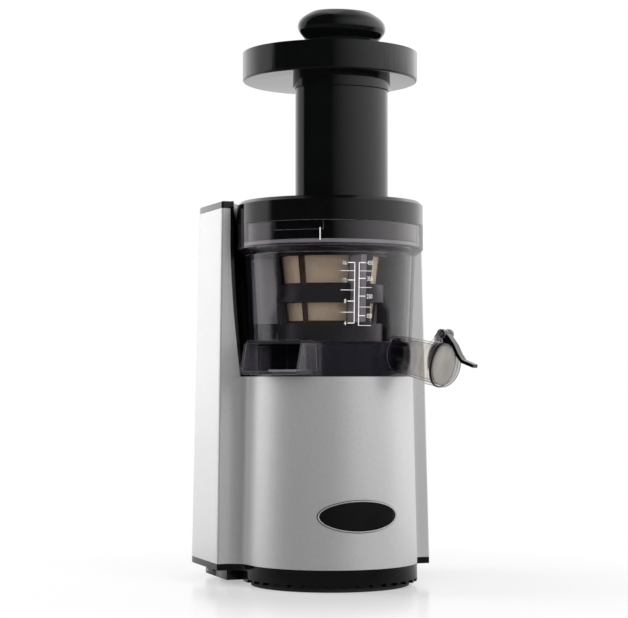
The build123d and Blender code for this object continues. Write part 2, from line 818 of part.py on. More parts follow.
def motor_bearings():
    size = (motor_bearing_outer, motor_shaft_radius)
    high = motor_top - motor_bearing_height
    return [bearing(*size, low, motor_bearing_height, 0, motor_y) for low in (motor_low, high)]


def motor_shaft():
    shaft = rod(motor_shaft_radius, motor_low + 0.5, motor_top, 0, motor_y)
    return shaft + rod(motor_tip_radius, motor_top, first_top + 1.5, 0, motor_y)


def motor_rotor():
    body = ring(rotor_radius, motor_shaft_radius, stack_low, stack_top, 0, motor_y)
    return fillet(body.edges().filter_by(GeomType.CIRCLE).sort_by(SortBy.RADIUS)[-2:], 0.8)


def cooling_fan():
    """A radial fan under the stator."""
    low = motor_low + motor_bearing_height + 1.0
    hub = rod(9, low, low + fan_height)
    disc = rod(fan_radius, low, low + 1.2)
    blade = block(7, fan_radius, -0.8, 0.8, low, low + fan_height - 0.5)
    fan = join([hub, disc] + around(blade, fan_blades)) - rod(motor_shaft_radius, 0, tower_top)
    return Pos(0, motor_y) * fan


def gear(module, teeth, low, width, turn, x=0, y=0):
    return Pos(x, y, low) * Rot(0, 0, turn) * extrude(gear_sketch(module, teeth), width)


def motor_pinion():
    low, width = first_low - 1, first_width + 2
    pinion = gear(first_module, motor_pinion_teeth, low, width, motor_pinion_turn, 0, motor_y)
    return pinion - rod(motor_tip_radius, 0, tower_top, 0, motor_y)


# --- Gearbox ---
def case_sketch(inset=0.0):
    """The gearbox outline: a lobe for each wheel."""
    final_tip = final_module * (final_teeth / 2 + addendum)
    first_tip = first_module * (first_teeth / 2 + addendum)
    pinion_tip = first_module * (motor_pinion_teeth / 2 + addendum)
    room = 1.5 + case_wall - inset
    lobes = Circle(final_tip + room) + Pos(compound_x, compound_y) * Circle(first_tip + room)
    return lobes + Pos(0, motor_y) * Circle(pinion_tip + 3 + room)


def case_lugs(low, high):
    lugs = join(rod(lug_radius, low, high, x, y) for x, y in gearbox_lugs)
    holes = join(rod(screw_radius + bearing_gap, low - 1, high + 1, x, y) for x, y in gearbox_lugs)
    return lugs, holes


def gearbox_lower_case():
    """The tray of the gearbox, with the seats of the lower output bearing and the compound's pin."""
    lugs, holes = case_lugs(case_split - 8, case_split)
    case = upright(case_sketch(), case_low, case_split) + lugs
    case = case - upright(case_sketch(case_wall), case_low + case_floor, case_split + 1) - holes
    case = case + rod(journal_bearing_outer + case_wall, journal_low, case_low + case_floor)
    case = case - rod(journal_bearing_outer, journal_low + 0.5, first_low)
    case = case - rod(shaft_journal_radius + 2, journal_low - 1, first_low)
    case = case - rod(compound_pin_radius, first_low - 3.5, first_low, compound_x, compound_y)
    return case - rod(motor_tip_radius + 2, case_low - 1, first_low, 0, motor_y)


def gearbox_upper_case():
    """The lid of the gearbox, with the upper bearing's seat and three posts up to the deck."""
    lugs, holes = case_lugs(case_split, case_split + 6)
    case = upright(case_sketch(), case_split, case_high) + lugs
    case = case - upright(case_sketch(case_wall), case_split - 1, case_high - case_floor) - holes
    seat_top = output_bearing_low + output_bearing_height
    case = case + rod(output_bearing_outer + case_wall, case_high - case_floor, seat_top)
    case = case - rod(output_bearing_outer, output_bearing_low, seat_top + 1)
    case = case - rod(shaft_radius + 2, case_split, seat_top)
    case = case - rod(compound_pin_radius, case_split, case_high - 1.5, compound_x, compound_y)
    for angle in (30, 150, 270):
        x, y = 28 * cos(radians(angle)), 28 * sin(radians(angle))
        case = case + rod(4.5, case_high - 1, deck_top - deck_thickness, x, y)
    return case


def gearbox_screws():
    screws = []
    for x, y in gearbox_lugs:
        head = rod(screw_head_radius - 0.4, case_split + 6, case_split + 8.4, x, y)
        head = head - Pos(x, y, case_split + 8.4) * (Box(3.6, 0.8, 2.4) + Box(0.8, 3.6, 2.4))
        screws.append(head + rod(screw_radius, case_split - 7, case_split + 6, x, y))
    return screws


def output_bearings():
    lower = bearing(journal_bearing_outer, shaft_journal_radius, journal_low + 0.5, journal_height)
    upper = bearing(output_bearing_outer, shaft_radius, output_bearing_low, output_bearing_height)
    return [lower, upper]


def compound_pin():
    return rod(compound_pin_radius, first_low - 3.5, case_high - 1.5, compound_x, compound_y)


def compound_wheel():
    """The large wheel of the compound gear, with a thinned web."""
    tip = first_module * first_teeth / 2
    place = compound_x, compound_y
    wheel = gear(first_module, first_teeth, first_low, first_width, final_pinion_turn, *place)
    for low in (first_low - 1, first_top - 1.5):
        wheel = wheel - ring(tip - 4, compound_hub_radius + 5, low, low + 2.5, compound_x, compound_y)
    return wheel - rod(compound_hub_radius, 0, tower_top, compound_x, compound_y)


def compound_pinion():
    """The steel pinion of the compound gear; its hub carries the large wheel."""
    teeth = gear(
        final_module, final_pinion_teeth, first_top + 1, final_top - first_top, final_pinion_turn,
        compound_x, compound_y,
    )
    hub = rod(compound_hub_radius, first_low - 1, first_top + 1, compound_x, compound_y)
    return teeth + hub - rod(compound_pin_radius + bearing_gap, 0, tower_top, compound_x, compound_y)


def output_gear():
    pitch = final_module * final_teeth / 2
    wheel = gear(final_module, final_teeth, final_low, final_width, 0)
    for low in (final_low - 1, final_top - 2.5):
        wheel = wheel - ring(pitch - 5, shaft_radius + 6, low, low + 3.5)
    return wheel - rod(shaft_radius, 0, tower_top)


def drive_shaft():
    """The output shaft: a journal, a plain length through the seal and a hexagonal tip."""
    shaft = rod(shaft_journal_radius, journal_low + 0.5, first_low - 0.5)
    shaft = shaft + rod(shaft_radius, first_low - 0.5, hex_low)
    hexagon = RegularPolygon(hex_across_flats / 2, 6, major_radius=False)
    tip = upright(hexagon, hex_low, hex_top)
    return shaft + chamfer(tip.edges().group_by(Axis.Z)[-1], 0.8)


def shaft_seal():
    """The lip seal in the deck, round the output shaft."""
    low = deck_top - deck_thickness
    high = deck_top + deck_boss_height - 1.2
    body = ring(seal_outer_radius, shaft_radius + 2.2, low, high)
    lip = ring(shaft_radius + 2.4, shaft_radius + bearing_gap, high - 2.0, high)
    return body + lip


# --- Juicing bowl ---


def bowl_radius(z):
    return between(bowl_radius_bottom, bowl_radius_top, floor_top, collar_bottom, z)


def bowl_interior():
    """The space above the bowl's floor."""
    top = bowl_radius(collar_ledge) - bowl_wall
    return turned([(0, floor_top), (bowl_radius(floor_top) - bowl_wall, floor_top), (top, collar_ledge),
                   (0, collar_ledge)])


def bowl_body():
    """The turned wall, floor, skirt and collar of the bowl, before its ducts."""
    skirt = bowl_radius(bowl_bottom)
    shoulder = 2 * collar_chamfer
    return turned([
        (hub_radius, floor_low - 4), (hub_radius + 3, floor_low - 4), (hub_radius + 3, floor_low),
        (skirt - bowl_wall, floor_low), (skirt - bowl_wall, bowl_bottom), (skirt, bowl_bottom),
        (bowl_radius(collar_bottom - shoulder), collar_bottom - shoulder),
        (collar_radius - collar_chamfer, collar_bottom), (collar_radius, collar_bottom + collar_chamfer),
        (collar_radius, rim_top), (collar_radius - collar_wall, rim_top),
        (collar_radius - collar_wall, collar_ledge), (bowl_radius(collar_ledge) - bowl_wall, collar_ledge),
        (bowl_radius(floor_top) - bowl_wall, floor_top), (hub_radius, floor_top),
    ])


def pulp_tube(inset, start):
    """The pulp duct's outer or inner solid, along its own direction, with a slanted mouth."""
    section = RectangleRounded(pulp_width - 2 * inset, pulp_height - 2 * inset, pulp_corner - inset)
    middle = (duct_low + duct_top) / 2
    plane = Plane(origin=(start, 0, middle), x_dir=(0, 1, 0), z_dir=(1, 0, 0))
    return extrude(plane * section, pulp_reach + 3 * pulp_slant - start)


def pulp_duct():
    mouth = Plane(origin=(pulp_reach, 0, (duct_low + duct_top) / 2), z_dir=(pulp_height, 0, 2 * pulp_slant))
    return Rot(0, 0, pulp_angle) * split(pulp_tube(0, pulp_start), bisect_by=mouth, keep=Keep.BOTTOM)


def pulp_openings():
    """The duct's bore, the port down into it and the cleaning hole in its floor."""
    bore = pulp_tube(pulp_wall, pulp_start + pulp_wall)
    x0 = pulp_start + pulp_wall
    half = pulp_port_width / 2
    port = block(x0, x0 + pulp_port_length, -half, half, duct_top - 6, floor_top + 1)
    hole = block(plug_start, plug_start + plug_length, -plug_width / 2, plug_width / 2,
                 duct_low - 1, duct_low + pulp_wall + 1)
    return Rot(0, 0, pulp_angle) * (bore + port + hole)


def pulp_plug():
    """A silicone stopper in the floor of the pulp duct."""
    def slab(change, low, high):
        return block(plug_start - change, plug_start + plug_length + change, -plug_width / 2 - change,
                     plug_width / 2 + change, low, high)

    floor = duct_low + pulp_wall
    return Rot(0, 0, pulp_angle) * (slab(-fit_gap, duct_low + 0.2, floor) + slab(1.6, floor, floor + 1.4))


spout_x = spout_reach * cos(radians(spout_angle))
spout_y = spout_reach * sin(radians(spout_angle))
spout_z = floor_top - spout_tip_drop
spout_place = Pos(spout_x, spout_y, spout_z) * Rot(0, 0, spout_angle) * Rot(0, spout_slope, 0)


def spout_cone(inset, start, end):
    """A cone along the spout, from one place to another; the tip is at zero."""
    low = between(spout_radius_root, spout_radius_tip, -spout_length, 0, start) - inset
    high = between(spout_radius_root, spout_radius_tip, -spout_length, 0, end) - inset
    cone = Cone(low, high, end - start, align=BASE)
    return spout_place * Pos(start, 0, 0) * Rot(0, 90, 0) * cone


def bowl_shell():
    """The bowl with its collar, pulp duct and juice spout, moulded in one."""
    tubes = pulp_duct() + spout_cone(0, -spout_length, 0)
    bowl = bowl_body() + (tubes - bowl_interior())
    bowl = bowl - pulp_openings() - spout_cone(spout_wall, spout_wall - spout_length, 1)
    idler_seat = rod(idler_pin_radius, floor_low + 0.8, floor_top + 1, 0, idler_distance)
    reach = spigot_radius + lug_reach + run_gap
    slot = ring(reach, collar_radius - collar_wall - 1, rim_top - lug_height - run_gap, rim_top + 1)
    span = lug_angle + lid_turn_angle + 3
    sector = turned([(50, 0), (80, 0), (80, tower_top), (50, tower_top)], span, -lug_angle / 2 - 1.5)
    return bowl - idler_seat - join(around(slot & sector, lug_count, lug_start))


def bowl_seal():
    """The silicone ring in the bowl's floor, round the drive shaft."""
    return ring(hub_radius, shaft_radius + run_gap, floor_low - 4, floor_top)


def idler_pin():
    return rod(idler_pin_radius, floor_low + 0.8, floor_top + strainer_base_height, 0, idler_distance)


# --- Strainer ---
def strainer_radius(height):
    low = strainer_base_height + strainer_plate
    return between(strainer_radius_bottom, strainer_radius_top, low, strainer_height, height)


def lifted(points):
    """Outline points given as (radius, height above the bowl's floor)."""
    return [(radius, floor_top + height) for radius, height in points]


def strainer_frame():
    """The strainer's cone with two rows of windows, its rim, its base and the foot it stands on."""
    base, plate = strainer_base_height, strainer_base_height + strainer_plate
    top = strainer_height + strainer_rim_height
    hole = auger_neck_radius + 0.5
    body = turned(lifted([
        (hole, base), (strainer_radius(plate), base), (strainer_radius(plate), plate),
        (strainer_radius_top, strainer_height), (strainer_rim_radius, strainer_height),
        (strainer_rim_radius, top), (strainer_radius_top - strainer_wall, top),
        (strainer_radius_top - strainer_wall, strainer_height),
        (strainer_radius(plate) - strainer_wall, plate), (hole, plate),
    ]))
    edges = [*window_edges, strainer_height - window_top_drop]
    for low, high in (edges[:2], edges[2:]):
        outline = lifted([(24, low), (48, low), (48, high), (24, high)])
        window = turned(outline, 360 / window_count - window_rib_angle, window_start + window_rib_angle / 2)
        body = body - join(around(window, window_count))
    foot = ring(strainer_foot_outer, strainer_foot_inner, floor_top, floor_top + base)
    room = brush_module * (idler_teeth / 2 + addendum) + 0.8
    foot = foot - rod(room, floor_top - 1, floor_top + base, 0, idler_distance)
    x0 = pulp_start + pulp_wall
    port = block(x0, x0 + pulp_port_length, -pulp_port_width / 2, pulp_port_width / 2, floor_top - 1,
                 floor_top + plate + 1)
    return body + foot - Rot(0, 0, pulp_angle) * port


def strainer_mesh():
    """The fine sieve inside the strainer's frame."""
    low = strainer_base_height + strainer_plate
    outer_low, outer_high = strainer_radius(low) - strainer_wall, strainer_radius_top - strainer_wall
    return turned(lifted(cone_points(outer_low, outer_high, low, strainer_height, mesh_thickness)))


# --- Auger and brush ---
def auger():
    """The screw: a toothed foot, a tapering core, a helical flight and the pin that turns in the lid."""
    foot = gear(brush_module, auger_teeth, gear_plane, brush_gear_width, 0)
    base = strainer_base_height + strainer_plate
    root = brush_module * (auger_teeth / 2 - dedendum) - 0.5
    core = turned(lifted([
        (0, 4), (root, 4), (root, strainer_base_height - 0.9),
        (auger_neck_radius, strainer_base_height - 0.6), (auger_neck_radius, base + 0.4),
        (auger_radius_bottom, base + 0.4), (auger_radius_bottom, base + 5),
        (auger_radius_top, auger_height - 6), (auger_pin_radius + 2, auger_height),
        (auger_pin_radius, auger_height), (auger_pin_radius, auger_height + auger_pin_length),
        (0, auger_height + auger_pin_length),
    ]))
    inner = strainer_wall + mesh_thickness + flight_gap
    room = turned(lifted([
        (0, base + 0.6), (strainer_radius(base + 0.6) - inner, base + 0.6),
        (strainer_radius(strainer_height) - inner, strainer_height), (0, strainer_height),
    ]))
    return foot + core + (flight() & room) - rod(socket_radius, 0, gear_plane + socket_length)


def flight():
    """A helical web wider than the screw, to be cut to the strainer's cone."""
    rise = strainer_height - strainer_base_height - 12
    middle = (strainer_radius_top + 6) / 2
    path = Helix(pitch=flight_pitch, height=rise, radius=middle)
    low = floor_top + strainer_base_height + strainer_plate + 4
    section = Plane(origin=(middle, 0, 0), x_dir=(1, 0, 0), z_dir=(0, 1, 0)) * Rectangle(
        strainer_radius_top - 6, flight_thickness
    )
    return Pos(0, 0, low) * sweep(section, path=path, is_frenet=True)


def auger_socket():
    """The steel insert that slides over the drive shaft's hexagon."""
    body = rod(socket_radius, gear_plane, gear_plane + socket_length)
    hexagon = RegularPolygon(hex_across_flats / 2 + 0.1, 6, major_radius=False)
    return body - upright(hexagon, gear_plane - 1, hex_top + 0.5)


def idler_gear():
    wheel = gear(brush_module, idler_teeth, gear_plane, brush_gear_width, idler_turn, 0, idler_distance)
    return wheel - rod(idler_pin_radius + bearing_gap, 0, tower_top, 0, idler_distance)


def brush_radius(height):
    """The outer radius of a brush ring that clears the strainer at a height."""
    return strainer_radius(height) + brush_gap + brush_ring_wall


def brush_outline():
    """The side outline of a brush bar."""
    middle, top = brush_radius(brush_mid_high), brush_radius(strainer_height)
    outer = [
        (brush_radius_base, brush_base_height - 1), (middle, brush_mid_low),
        (middle, brush_mid_high), (top, brush_top_low), (top, brush_top_high),
    ]
    inner = [(radius - brush_ring_wall, height) for radius, height in reversed(outer)]
    return lifted(outer + inner)


def brush_ring(radius, low, high):
    return ring(radius, radius - brush_ring_wall, floor_top + low, floor_top + high)


def brush_frame():
    """The turning frame outside the strainer: three rings, three bars and the internal gear."""
    base = brush_ring(brush_radius_base, run_gap, brush_base_height)
    blank = rod(brush_radius_base, gear_plane, gear_plane + brush_gear_width)
    gaps = internal_gap_sketch(brush_module, brush_teeth)
    cut = upright(gaps, gear_plane - 1, gear_plane + brush_gear_width + 1)
    teeth = blank - Rot(0, 0, brush_turn) * cut
    middle = brush_ring(brush_radius(brush_mid_high), brush_mid_low, brush_mid_high)
    top = brush_ring(brush_radius(strainer_height), brush_top_low, brush_top_high)
    bar = turned(brush_outline(), brush_bar_angle, brush_bar_start - brush_bar_angle / 2)
    return join([base + teeth, middle, top] + around(bar, brush_bar_count))


def brush_wipers(frame):
    """Silicone blades beside the bars, which sweep the strainer and the bowl's wall."""
    low, high = brush_base_height + 0.5, brush_top_low - 0.5
    sector = turned(lifted([
        (strainer_radius(low) + 0.4, low), (bowl_radius(floor_top + low) - bowl_wall - 0.8, low),
        (bowl_radius(floor_top + high) - bowl_wall - 0.8, high), (strainer_radius(high) + 0.4, high),
    ]), wiper_angle, brush_bar_start - brush_bar_angle / 2 - wiper_angle)
    return [blade - frame for blade in around(sector, brush_bar_count)]


# --- Tap on the spout ---


def along_y(sketch_points, half_width):
    """An outline of (x, z) points in the spout's frame, thickened to both sides of its middle plane."""
    face = make_face(Polyline(*[(x, 0, z) for x, z in sketch_points], close=True))
    return extrude(face, half_width, both=True)


def hinge_rod(radius, half_width):
    return Pos(*hinge_point) * Rot(90, 0, 0) * Cylinder(radius, 2 * half_width)


def tap_collar():
    """The ring on the spout's tip, with two ears for the tap's hinge pin."""
    outer = spout_radius_tip + tap_collar_wall
    end = -hinge_set_back
    body = Rot(0, 90, 0) * Cylinder(outer, tap_collar_length, align=BASE)
    body = Pos(end - tap_collar_length, 0, 0) * body
    ear_radius = hinge_knuckle_radius + 0.4
    foot = spout_radius_tip - 1
    ear = along_y([
        (end - tap_collar_length, foot), (end, foot), (end, hinge_rise), (end - ear_radius, hinge_rise),
    ], hinge_ear_width / 2)
    ear = ear + hinge_rod(ear_radius, hinge_ear_width / 2)
    offset_y = hinge_knuckle_width / 2 + 0.25 + hinge_ear_width / 2
    ears = [Pos(0, side * offset_y, 0) * ear for side in (1, -1)]
    collar = spout_place * (join([body] + ears) - hinge_rod(hinge_pin_radius, 20))
    return collar - spout_cone(0, -spout_length, 0)


def tap_pin():
    return spout_place * hinge_rod(hinge_pin_radius, hinge_knuckle_width / 2 + hinge_ear_width + 0.5)


def tap_cap_solid(inset):
    """The tap's cup and dome as a solid of revolution along the spout."""
    radius, start = tap_cap_radius - inset, 0.3
    shoulder = start + tap_cap_depth
    dome = EllipticalCenterArc((shoulder, 0), tap_dome_height - inset, radius, start_angle=0, arc_size=90)
    wall = Polyline((shoulder, radius), (start - inset, radius), (start - inset, 0),
                    (shoulder + tap_dome_height - inset, 0))
    profile = Plane.XZ * make_face(Wire([dome, *wall.edges()]))
    return revolve(profile, Axis.X, 360)


def tap_cap():
    """The see-through cup that closes the spout."""
    return spout_place * (tap_cap_solid(0) - tap_cap_solid(tap_wall))


def tap_seal():
    """A silicone disc inside the tap, against the spout's end."""
    radius = tap_cap_radius - tap_wall - 0.1
    return spout_place * Pos(0.4, 0, 0) * Rot(0, 90, 0) * Cylinder(radius, tap_seal_thickness, align=BASE)


def tap_lever():
    """The hinge knuckle and the lever that runs over the tap's dome to a thumb tab."""
    arm = along_y([
        (-hinge_set_back, hinge_rise - 2.9), (0.4, tap_cap_radius - 0.9), (3.0, tap_cap_radius - 0.9),
        (7.6, 13.2), (11.4, 8.4), (16.2, 4.4), (lever_reach, 3.0), (lever_reach, 5.2), (16.8, 6.6),
        (12.8, 10.4), (9.2, 15.0), (4.4, 19.2), (-hinge_set_back, hinge_rise + 2.9),
    ], hinge_knuckle_width / 2)
    knuckle = hinge_rod(hinge_knuckle_radius, hinge_knuckle_width / 2)
    lever = arm + knuckle - hinge_rod(hinge_pin_radius + bearing_gap, 20)
    return spout_place * (lever - tap_cap_solid(0))


# --- Lid ---
def lid_chute():
    """The lid and its feed chute in one moulding, with the bush's boss and the bayonet lugs."""
    under = lid_z - lid_top
    spigot_low = rim_top - spigot_depth
    skirt = collar_radius - lid_wall
    body = turned([
        (0, lid_z), (collar_radius - 2.5, lid_z), (collar_radius, lid_z - 2.5), (collar_radius, rim_top),
        (spigot_radius, rim_top), (spigot_radius, spigot_low), (spigot_radius - spigot_wall, spigot_low),
        (spigot_radius - spigot_wall, rim_top), (skirt - 1, rim_top + 2), (skirt - 1, under), (0, under),
    ])
    locator = strainer_rim_radius + run_gap
    body = body + ring(locator + spigot_wall, locator, strainer_top - 4, under)
    column = upright(oval(chute_half_length, chute_half_width), under, tray_z)
    bore = upright(oval(chute_half_length - chute_wall, chute_half_width - chute_wall), lid_z, tray_z + 1)
    throat = upright(
        oval(chute_half_length - chute_wall, chute_half_width - chute_wall) & Circle(throat_radius),
        under - 1, lid_z + 1,
    )
    boss = rod(bush_outer_radius + 2.5, bush_low, under + 1)
    lug = ring(spigot_radius + lug_reach, spigot_radius - 1, rim_top - lug_height, rim_top)
    lug = lug & turned([(50, 0), (80, 0), (80, tower_top), (50, tower_top)], lug_angle, -lug_angle / 2)
    body = join([body + column - bore - throat, boss] + around(lug, lug_count, lug_start))
    return body - rod(bush_outer_radius, bush_low - 1, bush_low + bush_length)


def top_bush():
    """The bush in the lid that steadies the auger's pin."""
    return ring(bush_outer_radius, auger_pin_radius + bearing_gap, bush_low, bush_low + bush_length)


def interlock_magnet():
    """The magnet under the lid that the reed switch in the tower feels."""
    return rod(3.0, lid_z - lid_top - 4, lid_z - lid_top, 0, magnet_y)


def lid_gasket():
    """The silicone ring between the lid's spigot and the ledge in the bowl's collar."""
    low = collar_ledge + 0.1
    return ring(spigot_radius - 0.2, spigot_radius - 3.2, low, low + gasket_thickness)


# --- Tray and pusher ---
def hopper_tray():
    """The round tray, whose oval neck slips over the top of the chute."""
    dish = rod(tray_radius, tray_z, tray_rim)
    dish = fillet(dish.edges().sort_by(Axis.Z)[0], 1.5)
    dish -= rod(tray_radius - tray_wall, tray_z + tray_floor, tray_rim + 1)
    inner_length, inner_width = chute_half_length + run_gap, chute_half_width + run_gap
    neck = oval(inner_length + tray_neck_wall, inner_width + tray_neck_wall) - oval(inner_length, inner_width)
    dish = dish + upright(neck, tray_z - tray_neck_length, tray_z)
    mouth = oval(chute_half_length - chute_wall, chute_half_width - chute_wall)
    return dish - upright(mouth, tray_z - 1, tray_rim)


def pusher_plunger():
    """The oval plunger, hollow from above, with the flange that stops it on the tray's floor."""
    length, width = plunger_half_length, plunger_half_width
    low = tray_z - pusher_reach
    stop = tray_z + tray_floor
    body = upright(oval(length, width), low, knob_low)
    body = body + upright(oval(chute_half_length, chute_half_width), stop, stop + 3)
    return body - upright(oval(length - pusher_wall, width - pusher_wall), low + pusher_wall, knob_low + 1)


def pusher_knob():
    """The domed oval knob, whose flange closes the top of the plunger."""
    steps = [(0.0, 5.6), (4.8, 5.0), (7.8, 3.4), (11.6, 0.6), (14.0, 0.0), (19.5, 2.0)]
    steps += [(23.1, 6.8), (25.1, 13.6), (26.0, 20.5)]
    flange_top = knob_low + knob_flange
    scale = (knob_height - knob_flange) / steps[-1][0]
    rings = [
        Pos(0, 0, flange_top + height * scale)
        * oval(knob_half_length - inset, knob_half_width - inset * knob_half_width / knob_half_length)
        for height, inset in steps
    ]
    return loft(rings) + upright(oval(plunger_half_length, plunger_half_width), knob_low, flange_top)


# --- Feet ---
def foot_ring():
    """The rubber ring under the drum: its lower face is what the juicer stands on."""
    return ring(foot_ring_outer, foot_ring_inner, 0, foot_height)


def rear_feet():
    return [rod(rear_foot_radius, 0, foot_height, side * rear_foot_x, rear_foot_y) for side in (1, -1)]


def build_nodes():
    """Every sub-part by name."""
    outer, blank = shell_blank()
    frame = brush_frame()
    return {
        "foot_ring": foot_ring(),
        "rear_feet": rear_feet(),
        "base_pan": base_pan(),
        "base_screws": base_screws(),
        "front_shell": front_shell(blank),
        "rear_shell": rear_shell(blank, outer),
        "cradle_liner": cradle_liner(),
        "tower_cap": tower_cap(),
        "badge_plate": badge(),
        "grip_cup": grip_cup(),
        "switch_bezel": switch_bezel(),
        "rocker_switch": rocker(),
        "cord_gland": cord_gland(),
        "control_board": control_board(),
        "run_capacitor": run_capacitor(),
        "interlock_sensor": interlock_sensor(),
        "motor_mounts": motor_mounts(),
        "motor_lower_bracket": motor_lower_bracket(),
        "motor_upper_bracket": motor_upper_bracket(),
        "motor_stator": motor_stator(),
        "motor_bearings": motor_bearings(),
        "motor_shaft": motor_shaft(),
        "motor_rotor": motor_rotor(),
        "cooling_fan": cooling_fan(),
        "motor_pinion": motor_pinion(),
        "gearbox_lower_case": gearbox_lower_case(),
        "gearbox_upper_case": gearbox_upper_case(),
        "gearbox_screws": gearbox_screws(),
        "output_bearings": output_bearings(),
        "compound_pin": compound_pin(),
        "compound_wheel": compound_wheel(),
        "compound_pinion": compound_pinion(),
        "output_gear": output_gear(),
        "drive_shaft": drive_shaft(),
        "shaft_seal": shaft_seal(),
        "bowl_shell": bowl_shell(),
        "bowl_seal": bowl_seal(),
        "pulp_plug": pulp_plug(),
        "idler_pin": idler_pin(),
        "idler_gear": idler_gear(),
        "strainer_frame": strainer_frame(),
        "strainer_mesh": strainer_mesh(),
        "brush_frame": frame,
        "brush_wipers": brush_wipers(frame),
        "auger": auger(),
        "auger_socket": auger_socket(),
        "tap_collar": tap_collar(),
        "tap_pin": tap_pin(),
        "tap_cap": tap_cap(),
        "tap_seal": tap_seal(),
        "tap_lever": tap_lever(),
        "lid_gasket": lid_gasket(),
        "lid_chute": lid_chute(),
        "top_bush": top_bush(),
        "interlock_magnet": interlock_magnet(),
        "hopper_tray": hopper_tray(),
        "pusher_plunger": pusher_plunger(),
        "pusher_knob": pusher_knob(),
    }


def main():
    os.makedirs("parts", exist_ok=True)
    for name, shape in build_nodes().items():
        solids = shape if isinstance(shape, list) else [shape]
        export_step(Compound(children=[s for part in solids for s in part.solids()]), f"parts/{name}.step")


main()
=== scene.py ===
"""A cold press juicer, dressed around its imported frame: finishes, edges, prints, light and camera."""

import json
from math import cos, degrees, pi, radians, sin

import bmesh
import bpy
from mathutils import Matrix, Vector
from mathutils.bvhtree import BVHTree


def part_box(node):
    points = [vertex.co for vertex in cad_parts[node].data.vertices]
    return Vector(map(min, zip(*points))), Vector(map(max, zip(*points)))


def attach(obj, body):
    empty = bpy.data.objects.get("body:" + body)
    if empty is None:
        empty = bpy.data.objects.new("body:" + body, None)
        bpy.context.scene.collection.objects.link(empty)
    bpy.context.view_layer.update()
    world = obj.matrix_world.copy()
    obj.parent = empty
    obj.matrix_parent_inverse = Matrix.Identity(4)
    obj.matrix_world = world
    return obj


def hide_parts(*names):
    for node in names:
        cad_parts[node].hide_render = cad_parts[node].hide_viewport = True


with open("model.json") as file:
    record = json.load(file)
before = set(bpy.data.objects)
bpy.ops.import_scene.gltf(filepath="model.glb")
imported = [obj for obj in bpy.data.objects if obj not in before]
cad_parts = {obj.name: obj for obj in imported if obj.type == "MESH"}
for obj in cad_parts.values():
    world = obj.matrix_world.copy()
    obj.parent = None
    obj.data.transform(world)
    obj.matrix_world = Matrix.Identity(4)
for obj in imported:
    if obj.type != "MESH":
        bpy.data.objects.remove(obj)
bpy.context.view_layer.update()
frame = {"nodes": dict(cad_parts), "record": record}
nodes = frame["nodes"]

mm = 0.001

# Directions in the shared frame. The camera stands a little to the left of the machine's front.
view_turn = radians(20)
view_forward = Vector((sin(view_turn), cos(view_turn), 0))
view_right = Vector((cos(view_turn), -sin(view_turn), 0))
backwards = Vector((0, 1, 0))
upwards = Vector((0, 0, 1))

white = (1, 1, 1)
black = (0, 0, 0)


# --- Shader maths ---
class Value:
    """A socket of a shader tree. Arithmetic on it adds Math nodes."""

    def __init__(self, tree, socket):
        self.tree = tree
        self.socket = socket

    def math(self, operation, *values):
        node = self.tree.nodes.new("ShaderNodeMath")
        node.operation = operation
        for socket, value in zip(node.inputs, values):
            feed(self.tree, socket, value)
        return Value(self.tree, node.outputs[0])

    def __add__(self, other):
        return self.math("ADD", self, other)

    __radd__ = __add__

    def __sub__(self, other):
        return self.math("SUBTRACT", self, other)

    def __rsub__(self, other):
        return self.math("SUBTRACT", other, self)

    def __mul__(self, other):
        return self.math("MULTIPLY", self, other)

    __rmul__ = __mul__

    def __truediv__(self, other):
        return self.math("DIVIDE", self, other)

    def __pow__(self, other):
        return self.math("POWER", self, other)

    def __abs__(self):
        return self.math("ABSOLUTE", self)

    def sine(self):
        return self.math("SINE", self)

    def turn_from(self, ahead):
        """The angle in radians of a place this far to one side and so far ahead."""
        return self.math("ARCTAN2", self, ahead)

    def clamped(self, top=1.0):
        return self.math("MINIMUM", self.math("MAXIMUM", self, 0.0), top)

    def ramp(self, start, end):
        """0 before the start, 1 after the end, straight between them."""
        return ((self - start) / (end - start)).clamped()


def feed(tree, socket, value):
    """Links a Value to a socket, or sets the socket's own number or colour."""
    if isinstance(value, Value):
        tree.links.new(value.socket, socket)
    elif isinstance(value, tuple) and len(value) == 3 and len(socket.default_value) == 4:
        socket.default_value = (*value, 1.0)
    else:
        socket.default_value = value


